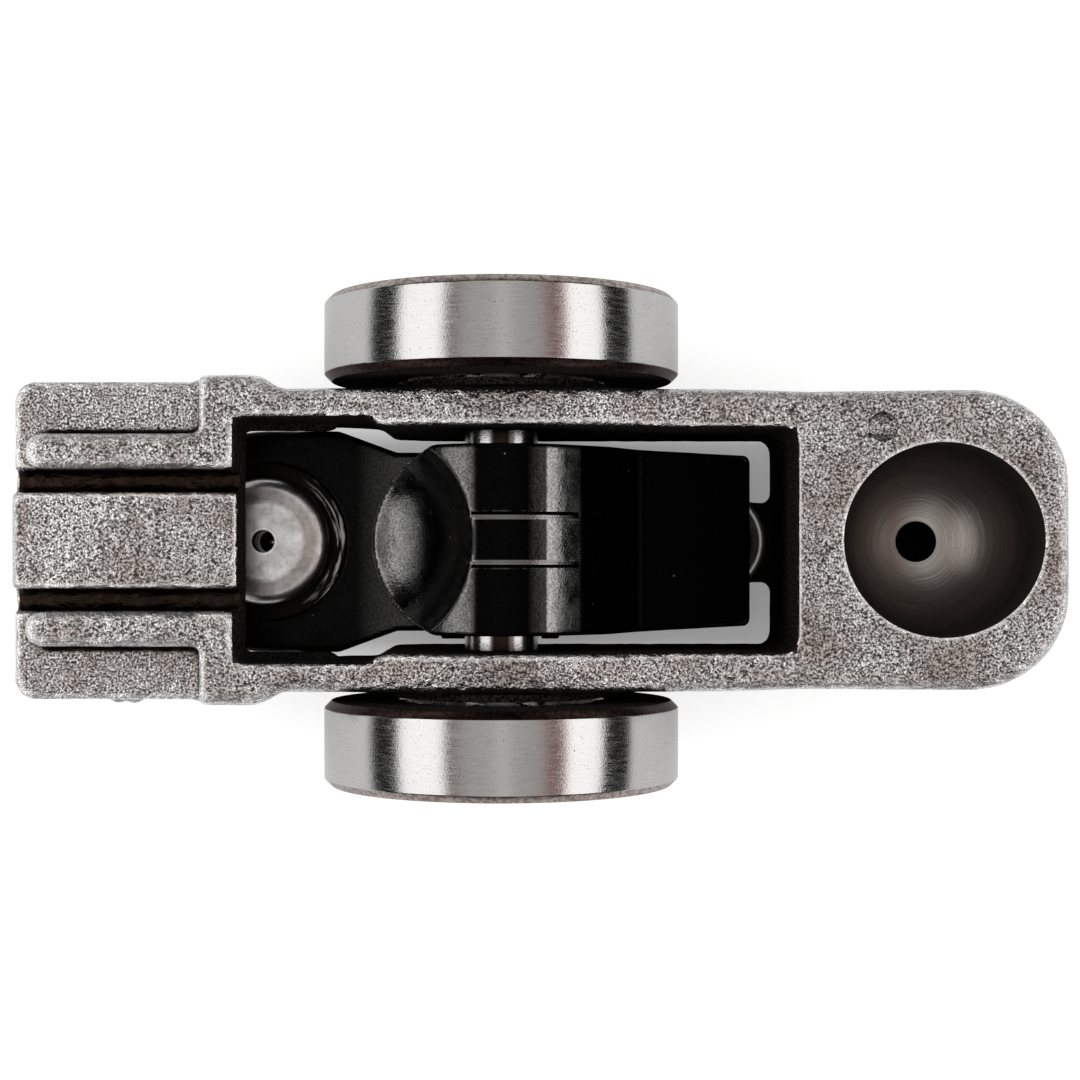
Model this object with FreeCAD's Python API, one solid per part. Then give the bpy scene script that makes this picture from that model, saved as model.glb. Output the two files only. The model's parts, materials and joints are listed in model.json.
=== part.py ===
import FreeCAD, Part
import math
import os

# Switching roller rocker arm, millimetres. Origin at the centre of the roller axle.
# +X points to the pivot pocket, +Y along the axle, +Z to the side that the pocket opens on.

# Rollers and their bearings
ROLLER_RADIUS = 10.06
ROLLER_WIDTH = 4.8
ROLLER_CHAMFER = 0.42
ROLLER_WALL_GAP = 0.6
NEEDLE_RADIUS = 1.15
NEEDLE_COUNT = 12
NEEDLE_CLEARANCE = 0.04
RACE_THICKNESS = 1.4
SEAT_DEPTH = 0.95
SEAT_RADIUS = 6.75
AXLE_RADIUS = 2.1
AXLE_END = 0.15
AXLE_CHAMFER = 0.25
INNER_WASHER_RADIUS = 6.1
WASHER_THICKNESS = 0.4
WASHER_CLEARANCE = 0.15
RING_THICKNESS = 0.35
RING_RADIUS = 3.0
RING_GROOVE_DEPTH = 0.35
RING_SLOT = 2.4

# Cast arm, seen from above
ARM_LEFT = -27.45
ARM_RIGHT = 30.95
NOSE_HALF = 3.6
NOSE_STEP = 0.15
VALVE_END_HALF = 8.95
SHOULDER_HALF = 9.13
SHOULDER_LEFT = -16.8
SHOULDER_RIGHT = -13.3
SHOULDER_RUN = 1.1
WALL_HALF = 8.4
BLOCK_HALF = 8.25
BLOCK_CORNER = 5.3
BLOCK_FAIR = 30.0
LEFT_CORNER = 1.1
WINDOW_LEFT = -14.7
WINDOW_RIGHT = 16.35
WINDOW_WIDE_HALF = 6.75
WINDOW_HALF = 6.15
WINDOW_STEP_X = -6.9
WINDOW_STEP_RUN = 0.8
WINDOW_CORNER = 0.7

# Cast arm, seen from the side
VALVE_END_TOP = 4.4
VALVE_END_BOTTOM = -1.0
HUMP_TOP = 6.2
HUMP_HALF = 4.0
HUMP_RUN = 5.0
HUMP_BLEND = 11.0
WALL_TOP = 4.0
WALL_TOP_END = 17.0
BLOCK_TOP = 5.9
WALL_BOTTOM = -8.0
WALL_BOTTOM_LEFT = -4.5
SLOPE_BOTTOM = -3.2
SLOPE_X = -12.0
BLOCK_LEFT = 17.8
BLOCK_FOOT_RUN = 2.0
ARM_EDGE = 0.6
ARM_END_ROUND = 1.8

# Valve end
PAD_HALF = 2.75
PAD_TOP = 2.85
PAD_CROWN = 38.0
PAD_CENTRE_X = -20.6
GROOVE_WIDTH = 1.15
GROOVE_FLOOR = 1.3
RAIL_WIDTH = 2.0
RAIL_NOSE = -26.2
RAIL_NOSE_ROUND = 0.9
RAIL_EDGE = 0.55
STRIP_TOP = 2.1
STRIP_END = -16.6

# Pivot pocket and oil way
POCKET_X = 24.22
POCKET_RADIUS = 5.35
POCKET_WALL_BOTTOM = 1.6
POCKET_SOCKET_RADIUS = 5.45
OIL_HOLE_RADIUS = 1.2
GALLERY_RADIUS = 0.6
PLUG_RADIUS = 1.3
PLUG_LENGTH = 2.2
DIMPLE_X = 20.9
DIMPLE_Y = 6.2
DIMPLE_Z = 5.3
DIMPLE_RADIUS = 0.9

# Spring ledge and stop lugs inside the arm
SPRING_X = 12.3
LEDGE_RADIUS = 3.55
LEDGE_NECK_HALF = 2.44
LEDGE_TOP = -6.6
LEDGE_THICKNESS = 2.0
LUG_HALF = 1.2
LUG_TOP = -5.0
LUG_DEPTH = 0.7

# Centre lever
LEVER_HALF = 5.25
HUB_RADIUS = 6.0
LEFT_FLANK_ANGLE = 126.4
RIGHT_FLANK_ANGLE = 50.0
NECK_TOP = 2.0
NECK_FRONT = 0.7
TAIL_END = 14.1
TAIL_END_HALF = 4.8
TAIL_TOP = 1.2
TAIL_BOTTOM = -1.8
HEEL_Z = -8.7
HEEL_RUN = 1.6
LEVER_EDGE = 0.3
CAM_PAD_LEFT = -3.7
CAM_PAD_RIGHT = 3.4
CAM_PAD_HALF = 5.75
CAM_PAD_RADIUS = 9.7
CAM_PAD_TOP = -4.3
STOP_GAP = 0.1
STOP_TRAVEL = 1.1
BAND_HALF = 1.2
BAND_GROOVE_WIDTH = 0.3
BAND_GROOVE_DEPTH = 0.25
BAND_LEFT = -3.0
BAND_RIGHT = 4.2
SCOOP_X = -8.1
SCOOP_Z = 5.8
SCOOP_RADIUS = 6.6
NECK_ROUND = 5.5
BUSH_THICKNESS = 0.8
BUSH_CLEARANCE = 0.03

# Plunger boss and hydraulic capsule
CAPSULE_X = -13.8
BOSS_RADIUS = 6.5
BOSS_TOP = -3.0
BOSS_BOTTOM = -9.35
BOSS_SIDE_END = -9.6
BOSS_TAPER_END = -6.2
BOSS_EDGE = 0.4
MOUTH_RADIUS = 4.9
PLUNGER_RADIUS = 3.7
PLUNGER_CLEARANCE = 0.03
SLEEVE_WALL = 0.75
SLEEVE_DROP = 0.65
SLEEVE_FLOOR = 0.4
SLEEVE_FEED_RADIUS = 0.5
SNAP_SECTION = 0.4
PLUNGER_GAP = 0.25
PLUNGER_LENGTH = 3.95
PLUNGER_CROWN_RADIUS = 2.2
PLUNGER_CROWN = 0.12
PLUNGER_BEVEL_RADIUS = 3.15
PLUNGER_BEVEL_DROP = 0.38
PLUNGER_SHOULDER_DROP = 1.15
PLUNGER_FLOOR = 0.6
PLUNGER_ROOF = 1.15
PLUNGER_WALL = 0.9
PLUNGER_HOLE_RADIUS = 0.65
SEAT_HOLE_RADIUS = 0.55
BALL_RADIUS = 0.8
BALL_CLEARANCE = 0.02
CAGE_SHEET = 0.2
CAGE_RADIUS = 1.25
CAGE_FLANGE = 2.9
CAGE_DEPTH = 2.05

# Springs
RETURN_WIRE = 0.35
RETURN_COIL = 2.9
RETURN_TURNS = 3.5
PLUNGER_WIRE = 0.2
PLUNGER_COIL = 2.65
PLUNGER_TURNS = 3.0
CHECK_WIRE = 0.08
CHECK_COIL = 0.5
CHECK_TURNS = 2.0
COIL_STEPS = 16
WIRE_SIDES = 8
SPRING_GAP = 0.03
NIB_HEIGHT = 0.5
NIB_CLEARANCE = 0.2

# Worked out from the sizes above
ROLLER_INNER = WALL_HALF + ROLLER_WALL_GAP
ROLLER_OUTER = ROLLER_INNER + ROLLER_WIDTH
AXLE_HALF = ROLLER_OUTER + AXLE_END
RACE_RADIUS = AXLE_RADIUS + RACE_THICKNESS
NEEDLE_PITCH = RACE_RADIUS + NEEDLE_CLEARANCE + NEEDLE_RADIUS
ROLLER_BORE = NEEDLE_PITCH + NEEDLE_RADIUS + NEEDLE_CLEARANCE
SEAT_FACE = ROLLER_OUTER - SEAT_DEPTH
RACE_START = WALL_HALF + WASHER_THICKNESS
RACE_END = SEAT_FACE + WASHER_CLEARANCE
RING_FACE = RACE_END + WASHER_THICKNESS
RING_GROOVE_RADIUS = AXLE_RADIUS - RING_GROOVE_DEPTH
BLOCK_BOTTOM = -ROLLER_RADIUS
PLUNGER_TOP = VALVE_END_BOTTOM - PLUNGER_GAP
PLUNGER_BOTTOM = PLUNGER_TOP - PLUNGER_LENGTH
SLEEVE_INNER = PLUNGER_RADIUS + PLUNGER_CLEARANCE
SLEEVE_OUTER = SLEEVE_INNER + SLEEVE_WALL
SLEEVE_TOP = BOSS_TOP - SLEEVE_DROP
CAGE_BOTTOM = PLUNGER_BOTTOM - CAGE_DEPTH
BORE_BOTTOM = CAGE_BOTTOM - STOP_TRAVEL - CAGE_SHEET - SLEEVE_FLOOR
LEDGE_BOTTOM = LEDGE_TOP - LEDGE_THICKNESS
GALLERY_Z = LEDGE_TOP - LEDGE_THICKNESS / 2
BUSH_RADIUS = AXLE_RADIUS + BUSH_CLEARANCE + BUSH_THICKNESS
FAR = 60.0

UP = FreeCAD.Vector(0, 0, 1)
ALONG_X = FreeCAD.Vector(1, 0, 0)
ALONG_Y = FreeCAD.Vector(0, 1, 0)


def vec(x, y, z):
    return FreeCAD.Vector(x, y, z)


def corner_cut(before, corner, after, radius):
    """Start, middle and end of the arc that rounds one corner of an outline."""
    back = (before - corner).normalize()
    ahead = (after - corner).normalize()
    half = back.getAngle(ahead) / 2
    reach = radius / math.tan(half)
    centre = corner + (back + ahead).normalize() * (radius / math.sin(half))
    middle = centre + (corner - centre).normalize() * radius
    return corner + back * reach, middle, corner + ahead * reach


def outline(points, place):
    """Closed wire through points (a, b, corner radius), put in space by place(a, b)."""
    spots = [place(a, b) for a, b, radius in points]
    edges = []
    first = None
    last = None
    for index, (a, b, radius) in enumerate(points):
        corner = spots[index]
        start = corner
        end = corner
        if radius > 0:
            before = spots[index - 1]
            after = spots[(index + 1) % len(spots)]
            start, middle, end = corner_cut(before, corner, after, radius)
        if last is None:
            first = start
        else:
            edges.append(Part.LineSegment(last, start).toShape())
        if radius > 0:
            edges.append(Part.Arc(start, middle, end).toShape())
        last = end
    edges.append(Part.LineSegment(last, first).toShape())
    return Part.Wire(edges)


def side_prism(points, half_width):
    """Outline in X and Z, as thick as half_width each way along Y."""
    wire = outline(points, lambda a, b: vec(a, -half_width, b))
    return Part.Face(wire).extrude(ALONG_Y * (2 * half_width))


def plan_prism(points, bottom, top):
    """Outline in X and Y, from the height bottom to the height top."""
    wire = outline(points, lambda a, b: vec(a, b, bottom))
    return Part.Face(wire).extrude(UP * (top - bottom))


def mirrored(points):
    """Half outline at positive Y, made whole on the other side of the X axis."""
    return points + [(a, -b, radius) for a, b, radius in reversed(points)]


def block(x_range, y_range, z_range):
    size = [high - low for low, high in (x_range, y_range, z_range)]
    return Part.makeBox(size[0], size[1], size[2], vec(x_range[0], y_range[0], z_range[0]))


def upright(radius, x, bottom, top):
    return Part.makeCylinder(radius, top - bottom, vec(x, 0, bottom), UP)


def across(radius, low, high):
    return Part.makeCylinder(radius, high - low, vec(0, low, 0), ALONG_Y)


def ring_across(outer, inner, low, high):
    return across(outer, low, high).cut(across(inner, low, high))


def turned(points, x):
    """Solid of revolution about an upright axis at x, from points (radius, height)."""
    path = [vec(x + radius, 0, height) for radius, height in points]
    face = Part.Face(Part.makePolygon(path + [path[0]]))
    return face.revolve(vec(x, 0, 0), UP, 360)


def other_side(shape):
    return shape.mirror(vec(0, 0, 0), ALONG_Y)


def both_sides(shape):
    return [shape, other_side(shape)]


def arm_plan():
    """Outer shape of the casting from above, with the shoulders behind the valve end."""
    right_of_shoulder = SHOULDER_RIGHT + SHOULDER_RUN
    left_of_shoulder = SHOULDER_LEFT - SHOULDER_RUN / 2
    half = [
        (ARM_LEFT, NOSE_HALF, 0),
        (ARM_LEFT + NOSE_STEP, NOSE_HALF + NOSE_STEP, 0),
        (ARM_LEFT + NOSE_STEP, VALVE_END_HALF, LEFT_CORNER),
        (left_of_shoulder, VALVE_END_HALF, ARM_EDGE),
        (SHOULDER_LEFT, SHOULDER_HALF, ARM_EDGE),
        (SHOULDER_RIGHT, SHOULDER_HALF, LEFT_CORNER),
        (right_of_shoulder, WALL_HALF, LEFT_CORNER),
        (WALL_TOP_END - HUMP_RUN, WALL_HALF, BLOCK_FAIR),
        (WALL_TOP_END, BLOCK_HALF, BLOCK_FAIR),
        (ARM_RIGHT, BLOCK_HALF, BLOCK_CORNER),
    ]
    return plan_prism(mirrored(half), -FAR, FAR)


def arm_side():
    """Outer shape of the casting from the side: hump over the axle, deep end block."""
    foot_left = BLOCK_LEFT - BLOCK_FOOT_RUN
    points = [
        (ARM_LEFT, VALVE_END_TOP, ARM_END_ROUND),
        (-HUMP_HALF - HUMP_RUN, VALVE_END_TOP, HUMP_BLEND),
        (-HUMP_HALF, HUMP_TOP, HUMP_BLEND),
        (HUMP_HALF, HUMP_TOP, HUMP_BLEND),
        (HUMP_HALF + HUMP_RUN, WALL_TOP, HUMP_BLEND),
        (WALL_TOP_END, WALL_TOP, HUMP_BLEND),
        (ARM_RIGHT, BLOCK_TOP, 0),
        (ARM_RIGHT, BLOCK_BOTTOM, 0),
        (BLOCK_LEFT, BLOCK_BOTTOM, ARM_EDGE),
        (foot_left, WALL_BOTTOM, ARM_EDGE),
        (WALL_BOTTOM_LEFT, WALL_BOTTOM, BLOCK_CORNER),
        (SLOPE_X, SLOPE_BOTTOM, ARM_EDGE),
        (WINDOW_LEFT + WINDOW_CORNER, VALVE_END_BOTTOM, ARM_EDGE),
        (ARM_LEFT, VALVE_END_BOTTOM, ARM_EDGE),
    ]
    return side_prism(points, FAR)


def window():
    """Opening through the arm, wider round the plunger boss than along the lever."""
    half = [
        (WINDOW_LEFT, WINDOW_WIDE_HALF, WINDOW_CORNER),
        (WINDOW_STEP_X - WINDOW_STEP_RUN / 2, WINDOW_WIDE_HALF, 0),
        (WINDOW_STEP_X + WINDOW_STEP_RUN / 2, WINDOW_HALF, 0),
        (WINDOW_RIGHT, WINDOW_HALF, WINDOW_CORNER),
    ]
    return plan_prism(mirrored(half), -FAR, FAR)


def pad_relief():
    """Space over the valve pad, with the pad's crown as its lower face."""
    crown = Part.makeCylinder(PAD_CROWN, 2 * PAD_HALF, vec(PAD_CENTRE_X, -PAD_HALF, PAD_TOP - PAD_CROWN),
                              ALONG_Y)
    space = block((ARM_LEFT - PAD_HALF, WINDOW_LEFT), (-PAD_HALF, PAD_HALF), (0, FAR))
    return space.cut(crown)


def valve_end_cuts():
    """Pad, grooves and outer strips, cut down to where the guide rails stand."""
    left = ARM_LEFT - PAD_HALF
    groove_outer = PAD_HALF + GROOVE_WIDTH
    groove = block((left, WINDOW_LEFT), (PAD_HALF, groove_outer), (GROOVE_FLOOR, FAR))
    strip = block((left, STRIP_END), (groove_outer, FAR), (STRIP_TOP, FAR))
    return [pad_relief()] + both_sides(groove) + both_sides(strip)


def guide_rails():
    """Two rails that keep the arm on the valve stem, round at the nose and along the top."""
    inner = PAD_HALF + GROOVE_WIDTH
    outer = inner + RAIL_WIDTH
    points = [
        (RAIL_NOSE, outer, RAIL_NOSE_ROUND), (RAIL_NOSE, inner, RAIL_NOSE_ROUND),
        (STRIP_END + RAIL_WIDTH, inner, 0), (STRIP_END + RAIL_WIDTH, outer, 0),
    ]
    rail = plan_prism(points, VALVE_END_BOTTOM + ARM_EDGE, VALVE_END_TOP)
    tops = [edge for edge in rail.Edges if edge.BoundBox.ZMin > VALVE_END_TOP - ARM_EDGE]
    soft = [edge for edge in tops if edge.BoundBox.XMin < STRIP_END]
    return both_sides(rail.makeFillet(RAIL_EDGE, soft))


def pocket():
    """Straight-walled pocket with a ball socket for its bottom, and its oil hole."""
    rise = math.sqrt(POCKET_SOCKET_RADIUS ** 2 - POCKET_RADIUS ** 2)
    ball = Part.makeSphere(POCKET_SOCKET_RADIUS, vec(POCKET_X, 0, POCKET_WALL_BOTTOM + rise))
    bottom = ball.common(upright(POCKET_RADIUS, POCKET_X, -FAR, POCKET_WALL_BOTTOM + rise))
    wall = upright(POCKET_RADIUS, POCKET_X, POCKET_WALL_BOTTOM, FAR)
    return wall.fuse([bottom, upright(OIL_HOLE_RADIUS, POCKET_X, GALLERY_Z, POCKET_WALL_BOTTOM)])


def gallery():
    """Oil way from the closed end of the block to the mouth on the spring ledge."""
    way = Part.makeCylinder(GALLERY_RADIUS, FAR, vec(0, 0, GALLERY_Z), ALONG_X)
    plug_bore = Part.makeCylinder(PLUG_RADIUS, FAR, vec(ARM_RIGHT - PLUG_LENGTH, 0, GALLERY_Z), ALONG_X)
    return way.fuse(plug_bore)


def spring_ledge():
    """Round seat for the return spring on a short neck from the end block."""
    seat = upright(LEDGE_RADIUS, SPRING_X, LEDGE_BOTTOM, LEDGE_TOP)
    reach = WINDOW_RIGHT + WINDOW_CORNER
    neck = block((SPRING_X, reach), (-LEDGE_NECK_HALF, LEDGE_NECK_HALF), (LEDGE_BOTTOM, LEDGE_TOP))
    nib_radius = RETURN_COIL - RETURN_WIRE - NIB_CLEARANCE
    nib = upright(nib_radius, SPRING_X, LEDGE_TOP, LEDGE_TOP + NIB_HEIGHT)
    return seat.fuse([neck, nib])


def stop_lugs():
    lug = block((-LUG_HALF, LUG_HALF), (WINDOW_HALF - LUG_DEPTH, WINDOW_HALF + LUG_DEPTH),
                (WALL_BOTTOM, LUG_TOP))
    return both_sides(lug)


def outer_top_edges(shape):
    """Rim edges where the casting's top meets its outer walls."""
    found = []
    for edge in shape.Edges:
        points = [vertex.Point for vertex in edge.Vertexes]
        middle = edge.valueAt((edge.FirstParameter + edge.LastParameter) / 2)
        high = all(point.z > STRIP_TOP for point in points)
        flat = max(point.z for point in points) - min(point.z for point in points) < HUMP_RUN
        rim = abs(middle.y) > WINDOW_WIDE_HALF or middle.x > ARM_RIGHT - BLOCK_CORNER
        if high and flat and rim and edge.Length > ARM_EDGE:
            found.append(edge)
    return found


def arm_body():
    """One casting: valve end, two walls round the lever, end block with the pocket."""
    blank = arm_side().common(arm_plan())
    blank = blank.makeFillet(ARM_EDGE, outer_top_edges(blank))
    hollow = blank.cut([window()] + valve_end_cuts())
    arm = hollow.fuse([spring_ledge()] + stop_lugs() + guide_rails())
    axle_hole = across(AXLE_RADIUS, -FAR, FAR)
    dimple = Part.makeSphere(DIMPLE_RADIUS, vec(DIMPLE_X, DIMPLE_Y, DIMPLE_Z))
    return arm.cut([pocket(), gallery(), axle_hole, dimple]).removeSplitter()


def gallery_plug():
    start = ARM_RIGHT - PLUG_LENGTH
    return Part.makeCylinder(PLUG_RADIUS, PLUG_LENGTH - AXLE_CHAMFER, vec(start, 0, GALLERY_Z), ALONG_X)


def roller_axle():
    """Ground pin through both walls, grooved near each end."""
    pin = across(AXLE_RADIUS, -AXLE_HALF, AXLE_HALF)
    ends = [edge for edge in pin.Edges if isinstance(edge.Curve, Part.Circle)]
    pin = pin.makeChamfer(AXLE_CHAMFER, ends)
    groove = ring_across(ROLLER_RADIUS, RING_GROOVE_RADIUS, RING_FACE, RING_FACE + RING_THICKNESS)
    return pin.cut(both_sides(groove))


def roller():
    """Hardened ring with chamfered rims and a seat for the outer washer."""
    body = across(ROLLER_RADIUS, ROLLER_INNER, ROLLER_OUTER)
    rims = [edge for edge in body.Edges if isinstance(edge.Curve, Part.Circle)]
    body = body.makeChamfer(ROLLER_CHAMFER, rims)
    seat = across(SEAT_RADIUS, SEAT_FACE, ROLLER_OUTER)
    return body.cut([across(ROLLER_BORE, ROLLER_INNER, ROLLER_OUTER), seat])


def needle(index):
    """One needle of the full ring between the inner race and the roller."""
    angle = 2 * math.pi * index / NEEDLE_COUNT
    place = vec(NEEDLE_PITCH * math.cos(angle), ROLLER_INNER, NEEDLE_PITCH * math.sin(angle))
    return Part.makeCylinder(NEEDLE_RADIUS, SEAT_FACE - ROLLER_INNER, place, ALONG_Y)


def inner_race():
    return ring_across(RACE_RADIUS, AXLE_RADIUS, RACE_START, RACE_END)


def inner_washer():
    return ring_across(INNER_WASHER_RADIUS, AXLE_RADIUS, WALL_HALF, RACE_START)


def outer_washer():
    radius = SEAT_RADIUS - WASHER_CLEARANCE
    return ring_across(radius, AXLE_RADIUS, RACE_END, RING_FACE)


def retaining_ring():
    """Open ring that snaps into the axle's groove over the outer washer."""
    ring = ring_across(RING_RADIUS, RING_GROOVE_RADIUS, RING_FACE, RING_FACE + RING_THICKNESS)
    slot = block((-RING_SLOT / 2, RING_SLOT / 2), (RING_FACE, RING_FACE + RING_THICKNESS), (0, FAR))
    return ring.cut(slot)


def tangent_corner(radius, first, second):
    """Where two lines that touch a circle round the axle meet, from their normals' angles."""
    middle = math.radians((first + second) / 2)
    reach = radius / math.cos(math.radians((first - second) / 2))
    return reach * math.cos(middle), reach * math.sin(middle)


def on_tangent(radius, angle, height):
    """X of the point at a height on the line that touches the circle at an angle."""
    turn = math.radians(angle)
    return (radius - height * math.sin(turn)) / math.cos(turn)


def lever_side():
    """Neck, crowned hub, tail and heel of the lever from the side."""
    crown_x, crown_z = tangent_corner(HUB_RADIUS, LEFT_FLANK_ANGLE, RIGHT_FLANK_ANGLE)
    neck_x = on_tangent(HUB_RADIUS, LEFT_FLANK_ANGLE, NECK_TOP)
    tail_x = on_tangent(HUB_RADIUS, RIGHT_FLANK_ANGLE, TAIL_TOP)
    points = [
        (CAPSULE_X, BOSS_TOP, 0),
        (neck_x - NECK_FRONT, BOSS_TOP, NECK_FRONT),
        (neck_x, NECK_TOP, BOSS_EDGE),
        (crown_x, crown_z, HUB_RADIUS),
        (tail_x, TAIL_TOP, NECK_FRONT),
        (TAIL_END, TAIL_TOP, BOSS_EDGE),
        (TAIL_END, TAIL_BOTTOM, BOSS_EDGE),
        (HUB_RADIUS, TAIL_BOTTOM, NECK_FRONT),
        (CAM_PAD_RIGHT, CAM_PAD_TOP, NECK_FRONT),
        (CAM_PAD_RIGHT, HEEL_Z, 0),
        (CAM_PAD_LEFT, HEEL_Z, 0),
        (CAM_PAD_LEFT - HEEL_RUN, HEEL_Z + HEEL_RUN, NECK_FRONT),
        (CAPSULE_X, HEEL_Z + HEEL_RUN, 0),
    ]
    body = side_prism(points, LEVER_HALF)
    sides = [edge for edge in body.Edges if abs(abs(edge.CenterOfMass.y) - LEVER_HALF) < LEVER_EDGE]
    return body.makeFillet(LEVER_EDGE, sides)


def tail_taper():
    """Plan of the lever, which narrows a little towards the end of its tail."""
    half = [
        (CAPSULE_X, LEVER_HALF, 0),
        (HUB_RADIUS, LEVER_HALF, 0),
        (TAIL_END, TAIL_END_HALF, BOSS_EDGE),
    ]
    return plan_prism(mirrored(half), -FAR, FAR)


def plunger_boss():
    """Round boss for the capsule, blended into the lever's sides by a taper."""
    boss = upright(BOSS_RADIUS, CAPSULE_X, BOSS_BOTTOM, BOSS_TOP)
    half = [
        (CAPSULE_X, BOSS_RADIUS, 0),
        (BOSS_SIDE_END, BOSS_RADIUS, 0),
        (BOSS_TAPER_END, LEVER_HALF, 0),
    ]
    blend = plan_prism(mirrored(half), HEEL_Z + HEEL_RUN, BOSS_TOP)
    body = boss.fuse(blend).removeSplitter()
    low = [edge for edge in body.Edges if edge.BoundBox.ZMax < BOSS_BOTTOM + BOSS_EDGE]
    return body.makeFillet(BOSS_EDGE, low)


def cam_pad():
    """Slider for the middle cam, a round face about the axle, notched for the stops."""
    wide = across(CAM_PAD_RADIUS, -CAM_PAD_HALF, CAM_PAD_HALF)
    limit = block((CAM_PAD_LEFT, CAM_PAD_RIGHT), (-FAR, FAR), (-FAR, CAM_PAD_TOP))
    notch_right = LUG_HALF + STOP_TRAVEL
    notch = block((-LUG_HALF - STOP_GAP, notch_right), (LEVER_HALF, FAR), (WALL_BOTTOM - STOP_GAP, 0))
    return wide.common(limit).cut(both_sides(notch))


def crown_grooves():
    """Two narrow grooves round the crown, one on each side of its middle band."""
    outer = BAND_HALF + BAND_GROOVE_WIDTH
    groove = ring_across(FAR, HUB_RADIUS - BAND_GROOVE_DEPTH, BAND_HALF, outer)
    upper = groove.common(block((BAND_LEFT, BAND_RIGHT), (0, FAR), (TAIL_TOP, FAR)))
    return both_sides(upper)


def neck_front():
    """Space ahead of the neck, which ends round as seen from above, and the scoop over it."""
    front_x = on_tangent(HUB_RADIUS, LEFT_FLANK_ANGLE, NECK_TOP)
    ahead = block((CAPSULE_X, front_x + NECK_ROUND), (-LEVER_HALF, LEVER_HALF), (BOSS_TOP, FAR))
    scoop = Part.makeSphere(SCOOP_RADIUS, vec(SCOOP_X, 0, SCOOP_Z))
    return [ahead.cut(upright(NECK_ROUND, front_x + NECK_ROUND, BOSS_TOP, FAR)), scoop]


def capsule_bore():
    """Stepped bore of the boss: bevelled mouth, snap ring groove and sleeve seat."""
    groove_top = SLEEVE_TOP + SNAP_SECTION
    groove = SLEEVE_OUTER + SNAP_SECTION / 2
    bevel_bottom = BOSS_TOP - (MOUTH_RADIUS - SLEEVE_OUTER) / 3
    points = [
        (0, BOSS_TOP), (MOUTH_RADIUS, BOSS_TOP), (SLEEVE_OUTER, bevel_bottom),
        (SLEEVE_OUTER, groove_top), (groove, groove_top), (groove, SLEEVE_TOP),
        (SLEEVE_OUTER, SLEEVE_TOP), (SLEEVE_OUTER, BORE_BOTTOM), (0, BORE_BOTTOM),
    ]
    return turned(points, CAPSULE_X)


def center_lever():
    """Blackened lever that follows the middle cam and carries the capsule."""
    body = lever_side().common(tail_taper()).cut(neck_front())
    nib_radius = RETURN_COIL - RETURN_WIRE - NIB_CLEARANCE
    nib = upright(nib_radius, SPRING_X, TAIL_BOTTOM - NIB_HEIGHT, TAIL_BOTTOM)
    whole = body.fuse([plunger_boss(), cam_pad(), nib.common(tail_taper())])
    cuts = [capsule_bore(), across(BUSH_RADIUS, -FAR, FAR)] + crown_grooves()
    return whole.cut(cuts).removeSplitter()


def lever_bush():
    return ring_across(BUSH_RADIUS, AXLE_RADIUS + BUSH_CLEARANCE, -LEVER_HALF, LEVER_HALF)


def capsule_sleeve():
    """Cup pressed into the boss, with a feed hole in its floor."""
    floor = BORE_BOTTOM + SLEEVE_FLOOR
    points = [
        (SLEEVE_FEED_RADIUS, BORE_BOTTOM), (SLEEVE_OUTER, BORE_BOTTOM), (SLEEVE_OUTER, SLEEVE_TOP),
        (SLEEVE_INNER, SLEEVE_TOP), (SLEEVE_INNER, floor), (SLEEVE_FEED_RADIUS, floor),
    ]
    return turned(points, CAPSULE_X)


def snap_ring():
    """Flat ring in the boss over the sleeve, open on the side away from the axle."""
    inner = SLEEVE_INNER + SNAP_SECTION / 2
    outer = SLEEVE_OUTER + SNAP_SECTION / 2
    top = SLEEVE_TOP + SNAP_SECTION
    ring = turned([(inner, SLEEVE_TOP), (outer, SLEEVE_TOP), (outer, top), (inner, top)], CAPSULE_X)
    slot = block((CAPSULE_X - FAR, CAPSULE_X), (-RING_SLOT / 2, RING_SLOT / 2), (-FAR, FAR))
    return ring.cut(slot)


def plunger():
    """Hollow plunger with a domed, drilled head and a valve seat in its floor."""
    shoulder = PLUNGER_TOP - PLUNGER_SHOULDER_DROP
    cavity = PLUNGER_RADIUS - PLUNGER_WALL
    cavity_top = PLUNGER_TOP - PLUNGER_ROOF
    cavity_floor = PLUNGER_BOTTOM + PLUNGER_FLOOR
    start = vec(CAPSULE_X + PLUNGER_HOLE_RADIUS, 0, PLUNGER_TOP)
    flat = vec(CAPSULE_X + PLUNGER_CROWN_RADIUS, 0, PLUNGER_TOP - PLUNGER_CROWN)
    bevel = vec(CAPSULE_X + PLUNGER_BEVEL_RADIUS, 0, PLUNGER_TOP - PLUNGER_BEVEL_DROP)
    side = vec(CAPSULE_X + PLUNGER_RADIUS, 0, shoulder)
    rest = [
        (PLUNGER_RADIUS, PLUNGER_BOTTOM), (SEAT_HOLE_RADIUS, PLUNGER_BOTTOM),
        (SEAT_HOLE_RADIUS, cavity_floor), (cavity, cavity_floor), (cavity, cavity_top),
        (PLUNGER_HOLE_RADIUS, cavity_top),
    ]
    path = [side] + [vec(CAPSULE_X + radius, 0, height) for radius, height in rest] + [start]
    crown_middle = (start + flat) * 0.5 + vec(0, 0, PLUNGER_CROWN / 4)
    round_middle = (bevel + side) * 0.5 + vec(PLUNGER_CROWN, 0, PLUNGER_CROWN)
    edges = [
        Part.Arc(start, crown_middle, flat).toShape(),
        Part.LineSegment(flat, bevel).toShape(),
        Part.Arc(bevel, round_middle, side).toShape(),
    ]
    face = Part.Face(Part.Wire(edges + Part.makePolygon(path).Edges))
    return face.revolve(vec(CAPSULE_X, 0, 0), UP, 360)


def ball_height():
    drop = math.sqrt(BALL_RADIUS ** 2 - SEAT_HOLE_RADIUS ** 2)
    return PLUNGER_BOTTOM - drop - BALL_CLEARANCE


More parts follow.
